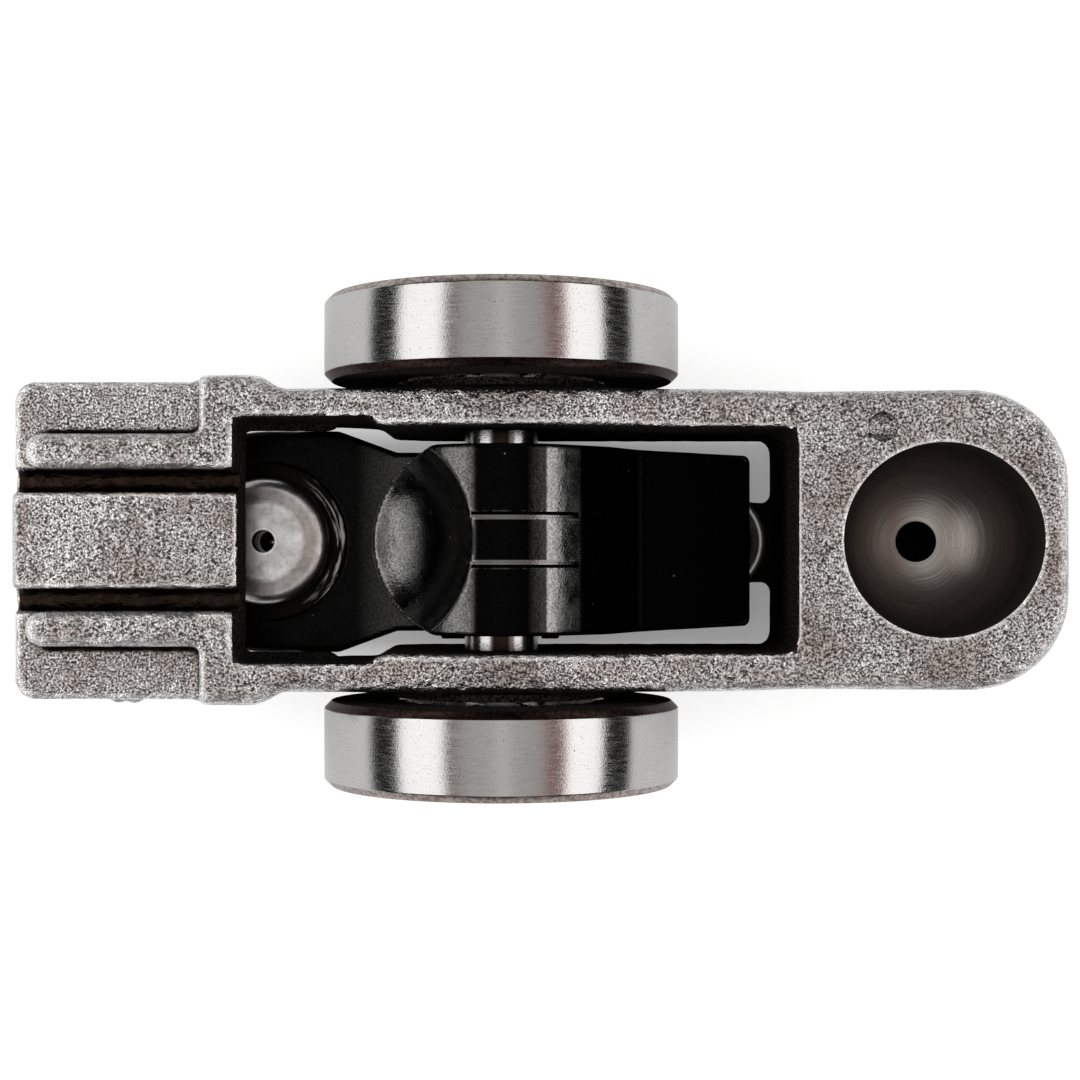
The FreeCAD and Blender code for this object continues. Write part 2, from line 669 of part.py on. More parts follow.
def check_ball():
    return Part.makeSphere(BALL_RADIUS, vec(CAPSULE_X, 0, ball_height()))


def check_cage():
    """Pressed sheet cup that holds the ball and its spring under the plunger."""
    outer = CAGE_RADIUS + CAGE_SHEET
    points = [
        (CAGE_RADIUS, PLUNGER_BOTTOM), (CAGE_FLANGE, PLUNGER_BOTTOM),
        (CAGE_FLANGE, PLUNGER_BOTTOM - CAGE_SHEET), (outer, PLUNGER_BOTTOM - CAGE_SHEET),
        (outer, CAGE_BOTTOM), (CHECK_COIL - 2 * CHECK_WIRE, CAGE_BOTTOM),
        (CHECK_COIL - 2 * CHECK_WIRE, CAGE_BOTTOM + CAGE_SHEET), (CAGE_RADIUS, CAGE_BOTTOM + CAGE_SHEET),
    ]
    return turned(points, CAPSULE_X)


def coil(x, radius, wire, bottom, top, turns):
    """Wire wound between two heights about an upright axis at x, in flat-sided steps."""
    low = bottom + wire + SPRING_GAP
    rise = top - wire - SPRING_GAP - low
    steps = round(COIL_STEPS * turns)
    sections = []
    for step in range(steps + 1):
        turn = 2 * math.pi * turns * step / steps
        outward = vec(math.cos(turn), math.sin(turn), 0)
        middle = vec(x, 0, low + rise * step / steps) + outward * radius
        ring = []
        for corner in range(WIRE_SIDES + 1):
            lean = math.pi * (2 * corner + 1) / WIRE_SIDES
            ring.append(middle + outward * (wire * math.cos(lean)) + UP * (wire * math.sin(lean)))
        sections.append(Part.makePolygon(ring))
    return Part.makeLoft(sections, True, True)


def return_spring():
    return coil(SPRING_X, RETURN_COIL, RETURN_WIRE, LEDGE_TOP, TAIL_BOTTOM, RETURN_TURNS)


def plunger_spring():
    top = PLUNGER_BOTTOM - CAGE_SHEET
    return coil(CAPSULE_X, PLUNGER_COIL, PLUNGER_WIRE, BORE_BOTTOM + SLEEVE_FLOOR, top, PLUNGER_TURNS)


def check_spring():
    offset = math.sqrt(BALL_RADIUS ** 2 - CHECK_COIL ** 2)
    top = ball_height() - offset
    return coil(CAPSULE_X, CHECK_COIL, CHECK_WIRE, CAGE_BOTTOM + CAGE_SHEET, top, CHECK_TURNS)


def side_parts(side, shape_of):
    """Bearing pieces of one end of the axle, as named nodes."""
    parts = {
        side + "_roller": shape_of(roller()),
        side + "_inner_race": shape_of(inner_race()),
        side + "_inner_washer": shape_of(inner_washer()),
        side + "_outer_washer": shape_of(outer_washer()),
        side + "_retaining_ring": shape_of(retaining_ring()),
    }
    for index in range(NEEDLE_COUNT):
        parts[f"{side}_needle_{index + 1:02d}"] = shape_of(needle(index))
    return parts


def all_parts():
    parts = {
        "arm_body": arm_body(),
        "gallery_plug": gallery_plug(),
        "roller_axle": roller_axle(),
        "center_lever": center_lever(),
        "lever_bush": lever_bush(),
        "capsule_sleeve": capsule_sleeve(),
        "snap_ring": snap_ring(),
        "plunger": plunger(),
        "check_ball": check_ball(),
        "check_cage": check_cage(),
        "check_spring": check_spring(),
        "plunger_spring": plunger_spring(),
        "return_spring": return_spring(),
    }
    parts.update(side_parts("left", lambda shape: shape))
    parts.update(side_parts("right", other_side))
    return parts


for name, shape in all_parts().items():
    solids = shape.Solids
    result = solids[0] if len(solids) == 1 else shape
    print(name, len(solids), shape.isValid(), round(shape.Volume, 3))
    result.exportStep(f"parts/{name}.step")
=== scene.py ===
import json
import math

import bpy
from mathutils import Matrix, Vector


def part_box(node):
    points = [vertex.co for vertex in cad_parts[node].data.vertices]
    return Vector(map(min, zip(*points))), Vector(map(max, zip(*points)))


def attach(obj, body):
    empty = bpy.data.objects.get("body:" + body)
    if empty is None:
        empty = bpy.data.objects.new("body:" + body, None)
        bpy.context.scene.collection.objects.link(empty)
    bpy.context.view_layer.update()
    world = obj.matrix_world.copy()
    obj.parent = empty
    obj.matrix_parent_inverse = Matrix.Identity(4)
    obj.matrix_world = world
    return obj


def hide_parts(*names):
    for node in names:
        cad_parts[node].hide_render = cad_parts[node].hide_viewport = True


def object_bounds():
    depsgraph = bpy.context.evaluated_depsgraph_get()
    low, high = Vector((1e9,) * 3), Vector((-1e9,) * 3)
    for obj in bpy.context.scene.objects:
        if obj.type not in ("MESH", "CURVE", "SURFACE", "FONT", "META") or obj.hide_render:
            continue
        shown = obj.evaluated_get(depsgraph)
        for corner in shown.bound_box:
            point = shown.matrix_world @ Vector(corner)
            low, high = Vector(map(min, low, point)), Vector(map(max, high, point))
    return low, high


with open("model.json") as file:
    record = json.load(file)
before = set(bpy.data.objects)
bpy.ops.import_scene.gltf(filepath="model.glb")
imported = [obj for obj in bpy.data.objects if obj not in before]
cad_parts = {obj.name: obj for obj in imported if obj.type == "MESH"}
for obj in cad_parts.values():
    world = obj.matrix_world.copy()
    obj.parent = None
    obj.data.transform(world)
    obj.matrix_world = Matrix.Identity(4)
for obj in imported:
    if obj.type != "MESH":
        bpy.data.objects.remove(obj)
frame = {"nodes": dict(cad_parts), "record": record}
cad_low, cad_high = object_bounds()
record = frame["record"]
MM = 0.001
scene = bpy.context.scene
scene.view_settings.view_transform = "Standard"


# The camera looks straight down on the arm from about four of its widths away.
# Its nadir lies a little off the picture's middle, which the lens shift carries.
CAMERA_HEIGHT = 108.0 * MM
NADIR_X = 1.63 * MM
NADIR_Y = -1.37 * MM
PICTURE = 1080.0
NADIR_RIGHT = -10.0
NADIR_DOWN = 25.0
LENS = 63.0
SENSOR_WIDTH = 36.0
NEAREST = 5.0 * MM
FARTHEST = 5.0

camera_data = bpy.data.cameras.new("camera")
camera_data.lens = LENS
camera_data.sensor_width = SENSOR_WIDTH
camera_data.clip_start = NEAREST
camera_data.clip_end = FARTHEST
camera_data.shift_x = -NADIR_RIGHT / PICTURE
camera_data.shift_y = NADIR_DOWN / PICTURE
camera = bpy.data.objects.new("camera", camera_data)
camera.location = (NADIR_X, NADIR_Y, CAMERA_HEIGHT)
scene.collection.objects.link(camera)
scene.camera = camera


# A plain white sheet that the arm stands on: white for the camera, dimmer in reflections, and with a
# painted shadow right under the arm, grey where it shows through the window.
FLOOR_SIZE = 3.0
FLOOR_GLOW = 0.62
FLOOR_GLOW_IN_METAL = 0.26
SHADE_GLOW = 0.22
SHADE_HALF_LENGTH = 19.0 * MM
SHADE_HALF_WIDTH = 6.0 * MM
SHADE_SOFTNESS = 2.5 * MM


def put(tree, kind, inputs=None, **settings):
    """Adds a shader node with its settings, and fills or links its inputs."""
    made = tree.nodes.new("ShaderNode" + kind)
    for name, value in settings.items():
        setattr(made, name, value)
    for socket, value in (inputs or {}).items():
        if isinstance(value, bpy.types.NodeSocket):
            tree.links.new(value, made.inputs[socket])
        else:
            made.inputs[socket].default_value = value
    return made


def calc(tree, operation, *values):
    """The result of a sum on numbers or sockets."""
    return put(tree, "Math", dict(enumerate(values)), operation=operation).outputs[0]


def remap(tree, value, low=0.0, high=1.0, to_low=0.0, to_high=1.0):
    """A value's place between low and high, carried over to another range and kept inside it."""
    made = put(tree, "MapRange", {"Value": value, "From Min": low, "From Max": high, "To Min": to_low,
                                  "To Max": to_high})
    return made.outputs["Result"]


def select_only(piece):
    bpy.ops.object.select_all(action="DESELECT")
    piece.select_set(True)
    bpy.context.view_layer.objects.active = piece


bpy.ops.object.select_all(action="DESELECT")
bpy.ops.mesh.primitive_plane_add(size=FLOOR_SIZE, location=(0, 0, cad_low[2]))
floor = bpy.context.object
floor.name = "floor"
white_sheet = bpy.data.materials.new("white_sheet")
white_sheet.use_nodes = True
tree = white_sheet.node_tree
tree.nodes.clear()
path = put(tree, "LightPath")
in_metal = calc(tree, "MAXIMUM", path.outputs["Is Glossy Ray"], path.outputs["Is Transmission Ray"])
metal_share = calc(tree, "MULTIPLY", in_metal, FLOOR_GLOW_IN_METAL)
place = put(tree, "TexCoord")
axes = put(tree, "SeparateXYZ", {0: place.outputs["Object"]})
away_x = calc(tree, "ABSOLUTE", axes.outputs["X"])
away_y = calc(tree, "ABSOLUTE", axes.outputs["Y"])
open_x = remap(tree, away_x, SHADE_HALF_LENGTH, SHADE_HALF_LENGTH + SHADE_SOFTNESS)
open_y = remap(tree, away_y, SHADE_HALF_WIDTH, SHADE_HALF_WIDTH + SHADE_SOFTNESS)
opened = put(tree, "CombineXYZ", {0: open_x, 1: open_y})
lit = put(tree, "VectorMath", {0: opened.outputs[0]}, operation="LENGTH").outputs["Value"]
camera_glow = remap(tree, lit, to_low=SHADE_GLOW, to_high=FLOOR_GLOW)
share = calc(tree, "MULTIPLY_ADD", path.outputs["Is Camera Ray"], camera_glow, metal_share)
glow = put(tree, "Emission", {"Color": (1, 1, 1, 1), "Strength": share})
sheet = put(tree, "BsdfDiffuse", {"Color": (0.8, 0.8, 0.8, 1)})
both = put(tree, "AddShader", {0: sheet.outputs[0], 1: glow.outputs[0]})
put(tree, "OutputMaterial", {"Surface": both.outputs[0]})
floor.data.materials.append(white_sheet)


# Soft even light all round from the world, white behind the arm in every view.
WORLD_LIGHT = 0.45

world = bpy.data.worlds.new("studio")
scene.world = world
world.use_nodes = True
tree = world.node_tree
tree.nodes.clear()
path = put(tree, "LightPath")
in_metal = calc(tree, "MAXIMUM", path.outputs["Is Glossy Ray"], path.outputs["Is Transmission Ray"])
seen = calc(tree, "MAXIMUM", path.outputs["Is Camera Ray"], in_metal)
strength = remap(tree, seen, to_low=WORLD_LIGHT, to_high=1.0)
backdrop = put(tree, "Background", {"Color": (1, 1, 1, 1), "Strength": strength})
put(tree, "OutputWorld", {"Surface": backdrop.outputs[0]})


# Two softboxes, one on each side of the arm, aimed at it from 50 to 55 degrees off the vertical.
SOFTBOX_DISTANCE = 0.42
SOFTBOX_LENGTH = 0.56
SOFTBOXES = {"softbox_left": (-51.0, 0.24, 0.72), "softbox_right": (54.5, 0.19, 0.58)}

for name, (lean, width, power) in SOFTBOXES.items():
    angle = math.radians(lean)
    lamp = bpy.data.lights.new(name, "AREA")
    lamp.shape = "RECTANGLE"
    lamp.size = width
    lamp.size_y = SOFTBOX_LENGTH
    lamp.energy = power
    holder = bpy.data.objects.new(name, lamp)
    holder.location = (math.sin(angle) * SOFTBOX_DISTANCE, 0, math.cos(angle) * SOFTBOX_DISTANCE)
    holder.rotation_euler = (0, angle, 0)
    scene.collection.objects.link(holder)


# Dark cards round the set and a grey ceiling with the lamps' warm frames, which only polished
# surfaces see. They give ground steel its dark and brown bands.
CARD_RADIUS = 0.9
RING_TOP = 0.66
CEILING = 1.3
CEILING_HALF = 1.8
CARD_STEPS = 64
DARK_CARD = (0.012, 0.011, 0.01, 1)
CEILING_BANDS = [
    (-CEILING_HALF, DARK_CARD),
    (-1.60, DARK_CARD),
    (-0.95, (0.08, 0.06, 0.055, 1)),
    (-0.74, (0.30, 0.24, 0.215, 1)),
    (-0.56, (0.54, 0.51, 0.49, 1)),
    (-0.10, (0.60, 0.595, 0.585, 1)),
    (0.05, (0.84, 0.825, 0.80, 1)),
    (0.18, (0.58, 0.58, 0.57, 1)),
    (0.66, (0.50, 0.48, 0.465, 1)),
    (0.76, (0.34, 0.20, 0.175, 1)),
    (1.15, (0.26, 0.15, 0.13, 1)),
    (1.60, DARK_CARD),
    (CEILING_HALF, DARK_CARD),
]


def ramp_along(tree, value, stops):
    """The colour at a value, from a list of values and their colours."""
    start, end = stops[0][0], stops[-1][0]
    ramp = put(tree, "ValToRGB", {"Fac": remap(tree, value, start, end)})
    elements = ramp.color_ramp.elements
    elements.remove(elements[0])
    elements[0].position = 1.0
    elements[0].color = stops[-1][1]
    for place, shade in stops[:-1]:
        elements.new((place - start) / (end - start)).color = shade
    return ramp.outputs["Color"]


def card_material(name):
    """A dark material that gives its own light, and its emission node."""
    card = bpy.data.materials.new(name)
    card.use_nodes = True
    card.node_tree.nodes.clear()
    emit = put(card.node_tree, "Emission", {"Color": DARK_CARD})
    put(card.node_tree, "OutputMaterial", {"Surface": emit.outputs[0]})
    return card, emit


def only_reflected(piece):
    """Shows a stage piece in reflections alone."""
    piece.visible_camera = False
    piece.visible_diffuse = False
    piece.visible_shadow = False
    piece.visible_transmission = False


bpy.ops.object.select_all(action="DESELECT")
bpy.ops.mesh.primitive_cylinder_add(vertices=CARD_STEPS, radius=CARD_RADIUS, depth=RING_TOP,
                                    end_fill_type="NOTHING", location=(0, 0, RING_TOP / 2))
dark_ring = bpy.context.object
dark_ring.name = "dark_ring"
dark_ring.data.materials.append(card_material("dark_card")[0])
only_reflected(dark_ring)

bpy.ops.object.select_all(action="DESELECT")
bpy.ops.mesh.primitive_circle_add(vertices=CARD_STEPS, radius=CEILING_HALF, fill_type="NGON",
                                  location=(0, 0, CEILING))
ceiling = bpy.context.object
ceiling.name = "ceiling"
ceiling_card, emit = card_material("ceiling_card")
tree = ceiling_card.node_tree
place = put(tree, "TexCoord")
axes = put(tree, "SeparateXYZ", {0: place.outputs["Object"]})
bands = ramp_along(tree, axes.outputs["X"], CEILING_BANDS)
tree.links.new(bands, emit.inputs["Color"])
ceiling.data.materials.append(ceiling_card)
only_reflected(ceiling)


# The arm body: an investment casting in alloy steel, shot-blasted all over. It is remeshed from
# its solid, so that the edges come soft and a little uneven, and then the socket is bored.
CAST_VOXEL = 0.235 * MM
CAST_SMOOTHING = 2
LUMP_SIZE = 0.9 * MM
LUMP_DEPTH = 0.05 * MM
BORE_STEPS = 192
FILL_MARGIN = 0.3 * MM
FILL_COVER = 0.12 * MM
BLOCK_TOP_START = (17.0 * MM, 4.0 * MM)
BLOCK_TOP_LEAN = math.radians(7.76)
SOCKET_WALL_BOTTOM = 1.6 * MM
SOCKET_BALL_RADIUS = 5.45 * MM
OIL_HOLE_RADIUS = 1.2 * MM
OIL_HOLE_BOTTOM = -7.6 * MM
SOCKET_BROW = 12.0 * MM
SOCKET_OVERLAP = 0.02 * MM
CUT_THRESHOLD = 0.0001 * MM
DIMPLE_PLACE = (20.9 * MM, 6.2 * MM, 5.12 * MM)
DIMPLE_RADIUS = 1.0 * MM
NUBS = [(-21.7 * MM, -8.85 * MM, 0.42 * MM), (-20.75 * MM, -8.8 * MM, 0.5 * MM)]
NUB_HEIGHT = 0.8 * MM
LAND_X = -12.35 * MM
LAND_Y = 6.8 * MM
LAND_Z = -1.45 * MM
LAND_SIZE = (5.1 * MM, 0.9 * MM, 0.9 * MM)
HOLLOW_ANGLE = math.radians(75)
EDGE_ANGLE = math.radians(105)
SMOOTH_ANGLE = math.radians(50)
SWELL_RATE = 0.16
PIT_NOISE = (0.39, 0.61)
CREST_PAINT = (0.57, 0.70)
CREST_WEAR_AND_SHEEN = 0.9
HOLLOW_PAINT = (0.44, 0.32)
SHADOW_BLACK = (0.002, 0.002, 0.002, 1)
CAST_ROUGHNESS = 0.2
SHADOW_ROUGHNESS = 0.6
RIM_GLINT = 0.1 * MM
CHANNEL_SHADE = (1.7 * MM, 2.3 * MM)
CHANNEL_HALF = 4.1 * MM
NOSE_FACE = -27.2 * MM
WALL_STEEPNESS = 0.4
WALL_MARGIN = 0.35 * MM
WINDOW_LEFT = -14.7 * MM
WINDOW_RIGHT = 16.35 * MM
WINDOW_STEP = -6.9 * MM
WINDOW_WIDE_HALF = 6.75 * MM
WINDOW_HALF = 6.15 * MM
socket = record["mounts"][0]
socket_x = socket["pos_m"][0]
socket_radius = socket["dims"]["r_mm"] * MM


def edit_all():
    """Goes into edit mode with the whole mesh selected."""
    bpy.ops.object.mode_set(mode="EDIT")
    bpy.ops.mesh.select_all(action="SELECT")


def merged_copy(node, name):
    """A copy of a CAD node's mesh with its loose triangles joined."""
    data = frame["nodes"][node].data.copy()
    data.materials.clear()
    piece = bpy.data.objects.new(name, data)
    scene.collection.objects.link(piece)
    select_only(piece)
    edit_all()
    bpy.ops.mesh.remove_doubles(threshold=0.001 * MM)
    bpy.ops.object.mode_set(mode="OBJECT")
    return piece


def recast(piece, voxel, smoothing):
    """Gives a piece an even skin of small faces with softened edges."""
    select_only(piece)
    skin = piece.modifiers.new("skin", "REMESH")
    skin.mode = "VOXEL"
    skin.voxel_size = voxel
    bpy.ops.object.modifier_apply(modifier=skin.name)
    soften = piece.modifiers.new("soften", "SMOOTH")
    soften.factor = 0.5
    soften.iterations = smoothing
    bpy.ops.object.modifier_apply(modifier=soften.name)


def machine(piece, cutter):
    """Cuts a cutter's shape out of a piece, and clears the cutter away."""
    select_only(piece)
    cut = piece.modifiers.new("cut", "BOOLEAN")
    cut.operation = "DIFFERENCE"
    cut.solver = "MANIFOLD"
    cut.object = cutter
    bpy.ops.object.modifier_apply(modifier=cut.name)
    bpy.data.objects.remove(cutter, do_unlink=True)
    piece.data.materials.clear()


def select_faces(piece, wanted):
    """Selects a piece's faces by their centre and normal, in edit mode."""
    bpy.ops.object.mode_set(mode="EDIT")
    bpy.context.tool_settings.mesh_select_mode = (False, False, True)
    bpy.ops.mesh.select_all(action="DESELECT")
    bpy.ops.object.mode_set(mode="OBJECT")
    for face in piece.data.polygons:
        face.select = wanted(face.center, face.normal)
    bpy.ops.object.mode_set(mode="EDIT")


def cylinder(radius, bottom, top, x, steps):
    """An upright cylinder between two heights."""
    bpy.ops.object.select_all(action="DESELECT")
    bpy.ops.mesh.primitive_cylinder_add(vertices=steps, radius=radius, depth=top - bottom,
                                        location=(x, 0, (bottom + top) / 2))
    piece = bpy.context.object
    bpy.ops.object.transform_apply(location=True, rotation=True, scale=True)
    return piece


def paint_edges(piece):
    """Paints hollows dark, flats middle grey and edges light, for the materials to read."""
    piece.data.color_attributes.new("edges", "FLOAT_COLOR", "CORNER")
    select_only(piece)
    bpy.ops.paint.vertex_color_dirt(blur_strength=1.0, blur_iterations=1, clean_angle=EDGE_ANGLE,
                                    dirt_angle=HOLLOW_ANGLE, dirt_only=False, normalize=False)
    bpy.ops.object.shade_smooth_by_angle(angle=SMOOTH_ANGLE)


casting = merged_copy("arm_body", "arm_casting")
filler = cylinder(socket_radius + FILL_MARGIN, OIL_HOLE_BOTTOM - FILL_MARGIN, SOCKET_BROW, socket_x,
                  BORE_STEPS)
edit_all()
lean = (-math.sin(BLOCK_TOP_LEAN), 0, math.cos(BLOCK_TOP_LEAN))
bpy.ops.mesh.bisect(plane_co=(BLOCK_TOP_START[0], 0, BLOCK_TOP_START[1] - FILL_COVER), plane_no=lean,
                    use_fill=True, clear_outer=True)
bpy.ops.object.mode_set(mode="OBJECT")
nubs = []
for x, y, radius in NUBS:
    bpy.ops.object.select_all(action="DESELECT")
    bpy.ops.mesh.primitive_ico_sphere_add(subdivisions=3, radius=radius, location=(x, y, NUB_HEIGHT))
    nubs.append(bpy.context.object)
lands = []
for side in (-1, 1):
    bpy.ops.object.select_all(action="DESELECT")
    bpy.ops.mesh.primitive_cube_add(size=1, location=(LAND_X, side * LAND_Y, LAND_Z), scale=LAND_SIZE)
    lands.append(bpy.context.object)
select_only(casting)
for extra in [filler] + nubs + lands:
    extra.select_set(True)
bpy.ops.object.join()
recast(casting, CAST_VOXEL, CAST_SMOOTHING)

bpy.ops.object.select_all(action="DESELECT")
bpy.ops.mesh.primitive_ico_sphere_add(subdivisions=5, radius=DIMPLE_RADIUS, location=DIMPLE_PLACE)
dimple = bpy.context.object
bpy.ops.object.transform_apply(location=True, rotation=True, scale=True)
machine(casting, dimple)

lumps = bpy.data.textures.new("lumps", "CLOUDS")
lumps.noise_scale = LUMP_SIZE
uneven = casting.modifiers.new("uneven", "DISPLACE")
uneven.texture = lumps
uneven.texture_coords = "LOCAL"
uneven.strength = LUMP_DEPTH
uneven.mid_level = 1.0
bpy.ops.object.modifier_apply(modifier=uneven.name)

machine(casting, cylinder(socket_radius, SOCKET_WALL_BOTTOM, SOCKET_BROW, socket_x, BORE_STEPS))
ball_rise = math.sqrt(SOCKET_BALL_RADIUS ** 2 - socket_radius ** 2)
bpy.ops.object.select_all(action="DESELECT")
bpy.ops.mesh.primitive_uv_sphere_add(segments=BORE_STEPS, ring_count=BORE_STEPS // 2,
                                     radius=SOCKET_BALL_RADIUS,
                                     location=(socket_x, 0, SOCKET_WALL_BOTTOM + ball_rise))
ball = bpy.context.object
bpy.ops.object.transform_apply(location=True, rotation=True, scale=True)
edit_all()
bpy.ops.mesh.bisect(plane_co=(0, 0, SOCKET_WALL_BOTTOM + SOCKET_OVERLAP), plane_no=(0, 0, 1),
                    use_fill=True, clear_outer=True, threshold=CUT_THRESHOLD)
bpy.ops.object.mode_set(mode="OBJECT")
machine(casting, ball)
machine(casting, cylinder(OIL_HOLE_RADIUS, OIL_HOLE_BOTTOM, SOCKET_WALL_BOTTOM, socket_x, BORE_STEPS))
paint_edges(casting)

# Shared effects of the metal surfaces, each placed in the materials below with its own values.
grain_group = bpy.data.node_groups.new("blasted_grain", "ShaderNodeTree")
for name, kind, way in (("Vector", "NodeSocketVector", "INPUT"), ("Size", "NodeSocketFloat", "INPUT"),
                        ("Depth", "NodeSocketFloat", "INPUT"), ("Swell", "NodeSocketFloat", "INPUT"),
                        ("Normal", "NodeSocketVector", "OUTPUT"), ("Pits", "NodeSocketFloat", "OUTPUT")):
    grain_group.interface.new_socket(name, in_out=way, socket_type=kind)
enter = grain_group.nodes.new("NodeGroupInput")
leave = grain_group.nodes.new("NodeGroupOutput")
frequency = calc(grain_group, "DIVIDE", 1.0, enter.outputs["Size"])
fine = put(grain_group, "TexNoise", {"Vector": enter.outputs["Vector"], "Scale": frequency,
                                     "Detail": 2.0, "Roughness": 0.6})
slower = calc(grain_group, "MULTIPLY", frequency, SWELL_RATE)
coarse = put(grain_group, "TexNoise", {"Vector": enter.outputs["Vector"], "Scale": slower,
                                       "Detail": 2.0})
height = calc(grain_group, "MULTIPLY_ADD", coarse.outputs["Fac"], enter.outputs["Swell"],
              fine.outputs["Fac"])
bump = put(grain_group, "Bump", {"Strength": 1.0, "Distance": enter.outputs["Depth"], "Height": height})
pits = remap(grain_group, fine.outputs["Fac"], PIT_NOISE[0], PIT_NOISE[1])
grain_group.links.new(bump.outputs["Normal"], leave.inputs["Normal"])
grain_group.links.new(pits, leave.inputs["Pits"])


def new_metal(name, color, metallic, roughness):
    """A material with its node tree and its shader."""
    material = bpy.data.materials.new(name)
    material.use_nodes = True
    shader = material.node_tree.nodes["Principled BSDF"]
    shader.inputs["Base Color"].default_value = (*color, 1)
    shader.inputs["Metallic"].default_value = metallic
    shader.inputs["Roughness"].default_value = roughness
    return material, material.node_tree, shader


def use_group(tree, group, inputs):
    return put(tree, "Group", inputs, node_tree=group)


def mix_colors(tree, factor, first, second, blend="MIX"):
    made = put(tree, "Mix", {0: factor, 6: first, 7: second}, data_type="RGBA", blend_type=blend)
    return made.outputs[2]


def from_axis(tree, place, x):
    """The offsets of a place from an upright axis, and its distance from it."""
    centred = put(tree, "Mapping", {"Vector": place, "Location": (-x, 0, 0)})
    axes = put(tree, "SeparateXYZ", {0: centred.outputs[0]})
    flat = put(tree, "CombineXYZ", {0: axes.outputs["X"], 1: axes.outputs["Y"]})
    return axes, put(tree, "VectorMath", {0: flat.outputs[0]}, operation="LENGTH").outputs["Value"]


def edge_share(tree, start, end):
    """How far a place on the piece is over a convex edge, or under it for a start above the end."""
    paint = put(tree, "Attribute", attribute_name="edges")
    return remap(tree, paint.outputs["Fac"], start, end)


cast_steel, tree, shader = new_metal("cast_steel", (0.4, 0.38, 0.36), 1.0, CAST_ROUGHNESS)
place = put(tree, "TexCoord").outputs["Object"]
grain = use_group(tree, grain_group, {"Vector": place, "Size": 0.13 * MM, "Depth": 0.07 * MM,
                                      "Swell": 4.0})
patches = put(tree, "TexNoise", {"Vector": place, "Scale": 270.0, "Detail": 3.0})
tone = remap(tree, patches.outputs["Fac"], 0.4, 0.64)
steel = mix_colors(tree, tone, (1.0, 0.995, 0.985, 1), (0.66, 0.59, 0.56, 1))
# The grain's pits are painted near-black, partly the blasted skin's own dark and partly painted shade in
# the cavities.
pits_shaded = mix_colors(tree, grain.outputs["Pits"], (0.035, 0.03, 0.028, 1), steel)
# Convex edges are painted near-white, partly as edge wear and partly as a painted highlight.
crest = calc(tree, "MULTIPLY", edge_share(tree, *CREST_PAINT), CREST_WEAR_AND_SHEEN)
worn = mix_colors(tree, crest, pits_shaded, (1.0, 0.998, 0.995, 1))
# Hollows are painted dark brown as painted shade.
hollow_shaded = mix_colors(tree, edge_share(tree, *HOLLOW_PAINT), worn, (0.025, 0.018, 0.014, 1))
axes = put(tree, "SeparateXYZ", {0: place})
side = calc(tree, "ABSOLUTE", axes.outputs["Y"])
narrow = calc(tree, "GREATER_THAN", axes.outputs["X"], WINDOW_STEP)
half = remap(tree, narrow, to_low=WINDOW_WIDE_HALF, to_high=WINDOW_HALF)
within_y = calc(tree, "LESS_THAN", side, half)
beyond_left = calc(tree, "GREATER_THAN", axes.outputs["X"], WINDOW_LEFT)
before_right = calc(tree, "LESS_THAN", axes.outputs["X"], WINDOW_RIGHT)
within_x = calc(tree, "MULTIPLY", beyond_left, before_right)
inside = calc(tree, "MULTIPLY", within_x, within_y)
# A thin painted highlight runs round the socket's rim, broken by the grain.
out = from_axis(tree, place, socket_x)[1]
rim = remap(tree, out, socket_radius + RIM_GLINT * 2, socket_radius + RIM_GLINT)
broken = calc(tree, "MULTIPLY", rim, grain.outputs["Pits"])
rimmed = mix_colors(tree, broken, hollow_shaded, (1.0, 1.0, 1.0, 1))
# The low channel at the valve end is painted dark brown as painted shade.
low = remap(tree, axes.outputs["Z"], CHANNEL_SHADE[1], CHANNEL_SHADE[0])
near = calc(tree, "LESS_THAN", side, CHANNEL_HALF)
ahead = calc(tree, "LESS_THAN", axes.outputs["X"], WINDOW_LEFT)
behind_nose = calc(tree, "GREATER_THAN", axes.outputs["X"], NOSE_FACE)
in_channel = calc(tree, "MULTIPLY", low, near)
in_front = calc(tree, "MULTIPLY", ahead, behind_nose)
channel_shaded = calc(tree, "MULTIPLY", in_channel, in_front)
channelled = mix_colors(tree, channel_shaded, rimmed, (0.03, 0.02, 0.016, 1))
# Inside the window the casting is painted black as painted shadow, and made rougher.
skin = mix_colors(tree, inside, channelled, SHADOW_BLACK)
tree.links.new(skin, shader.inputs["Base Color"])
rough = remap(tree, inside, to_low=CAST_ROUGHNESS, to_high=SHADOW_ROUGHNESS)
tree.links.new(rough, shader.inputs["Roughness"])
tree.links.new(grain.outputs["Normal"], shader.inputs["Normal"])
casting.data.materials.append(cast_steel)

# The bored socket keeps its cutter's rings, with painted shade towards its mouth and painted light at
# its bottom.
BOWL_BRIGHTENING = (0.8, 0.25)

lathe_group = bpy.data.node_groups.new("lathe_marks", "ShaderNodeTree")
for name, kind, way in (("Vector", "NodeSocketVector", "INPUT"), ("Around", "NodeSocketFloat", "INPUT"),
                        ("Along", "NodeSocketFloat", "INPUT"), ("Outward", "NodeSocketFloat", "INPUT"),
                        ("Depth", "NodeSocketFloat", "INPUT"), ("Normal", "NodeSocketVector", "OUTPUT"),
                        ("Marks", "NodeSocketFloat", "OUTPUT")):
    lathe_group.interface.new_socket(name, in_out=way, socket_type=kind)
enter = lathe_group.nodes.new("NodeGroupInput")
leave = lathe_group.nodes.new("NodeGroupOutput")
axes = put(lathe_group, "SeparateXYZ", {0: enter.outputs["Vector"]})
turn = calc(lathe_group, "ARCTAN2", axes.outputs["X"], axes.outputs["Z"])
flat = put(lathe_group, "CombineXYZ", {0: axes.outputs["X"], 2: axes.outputs["Z"]})
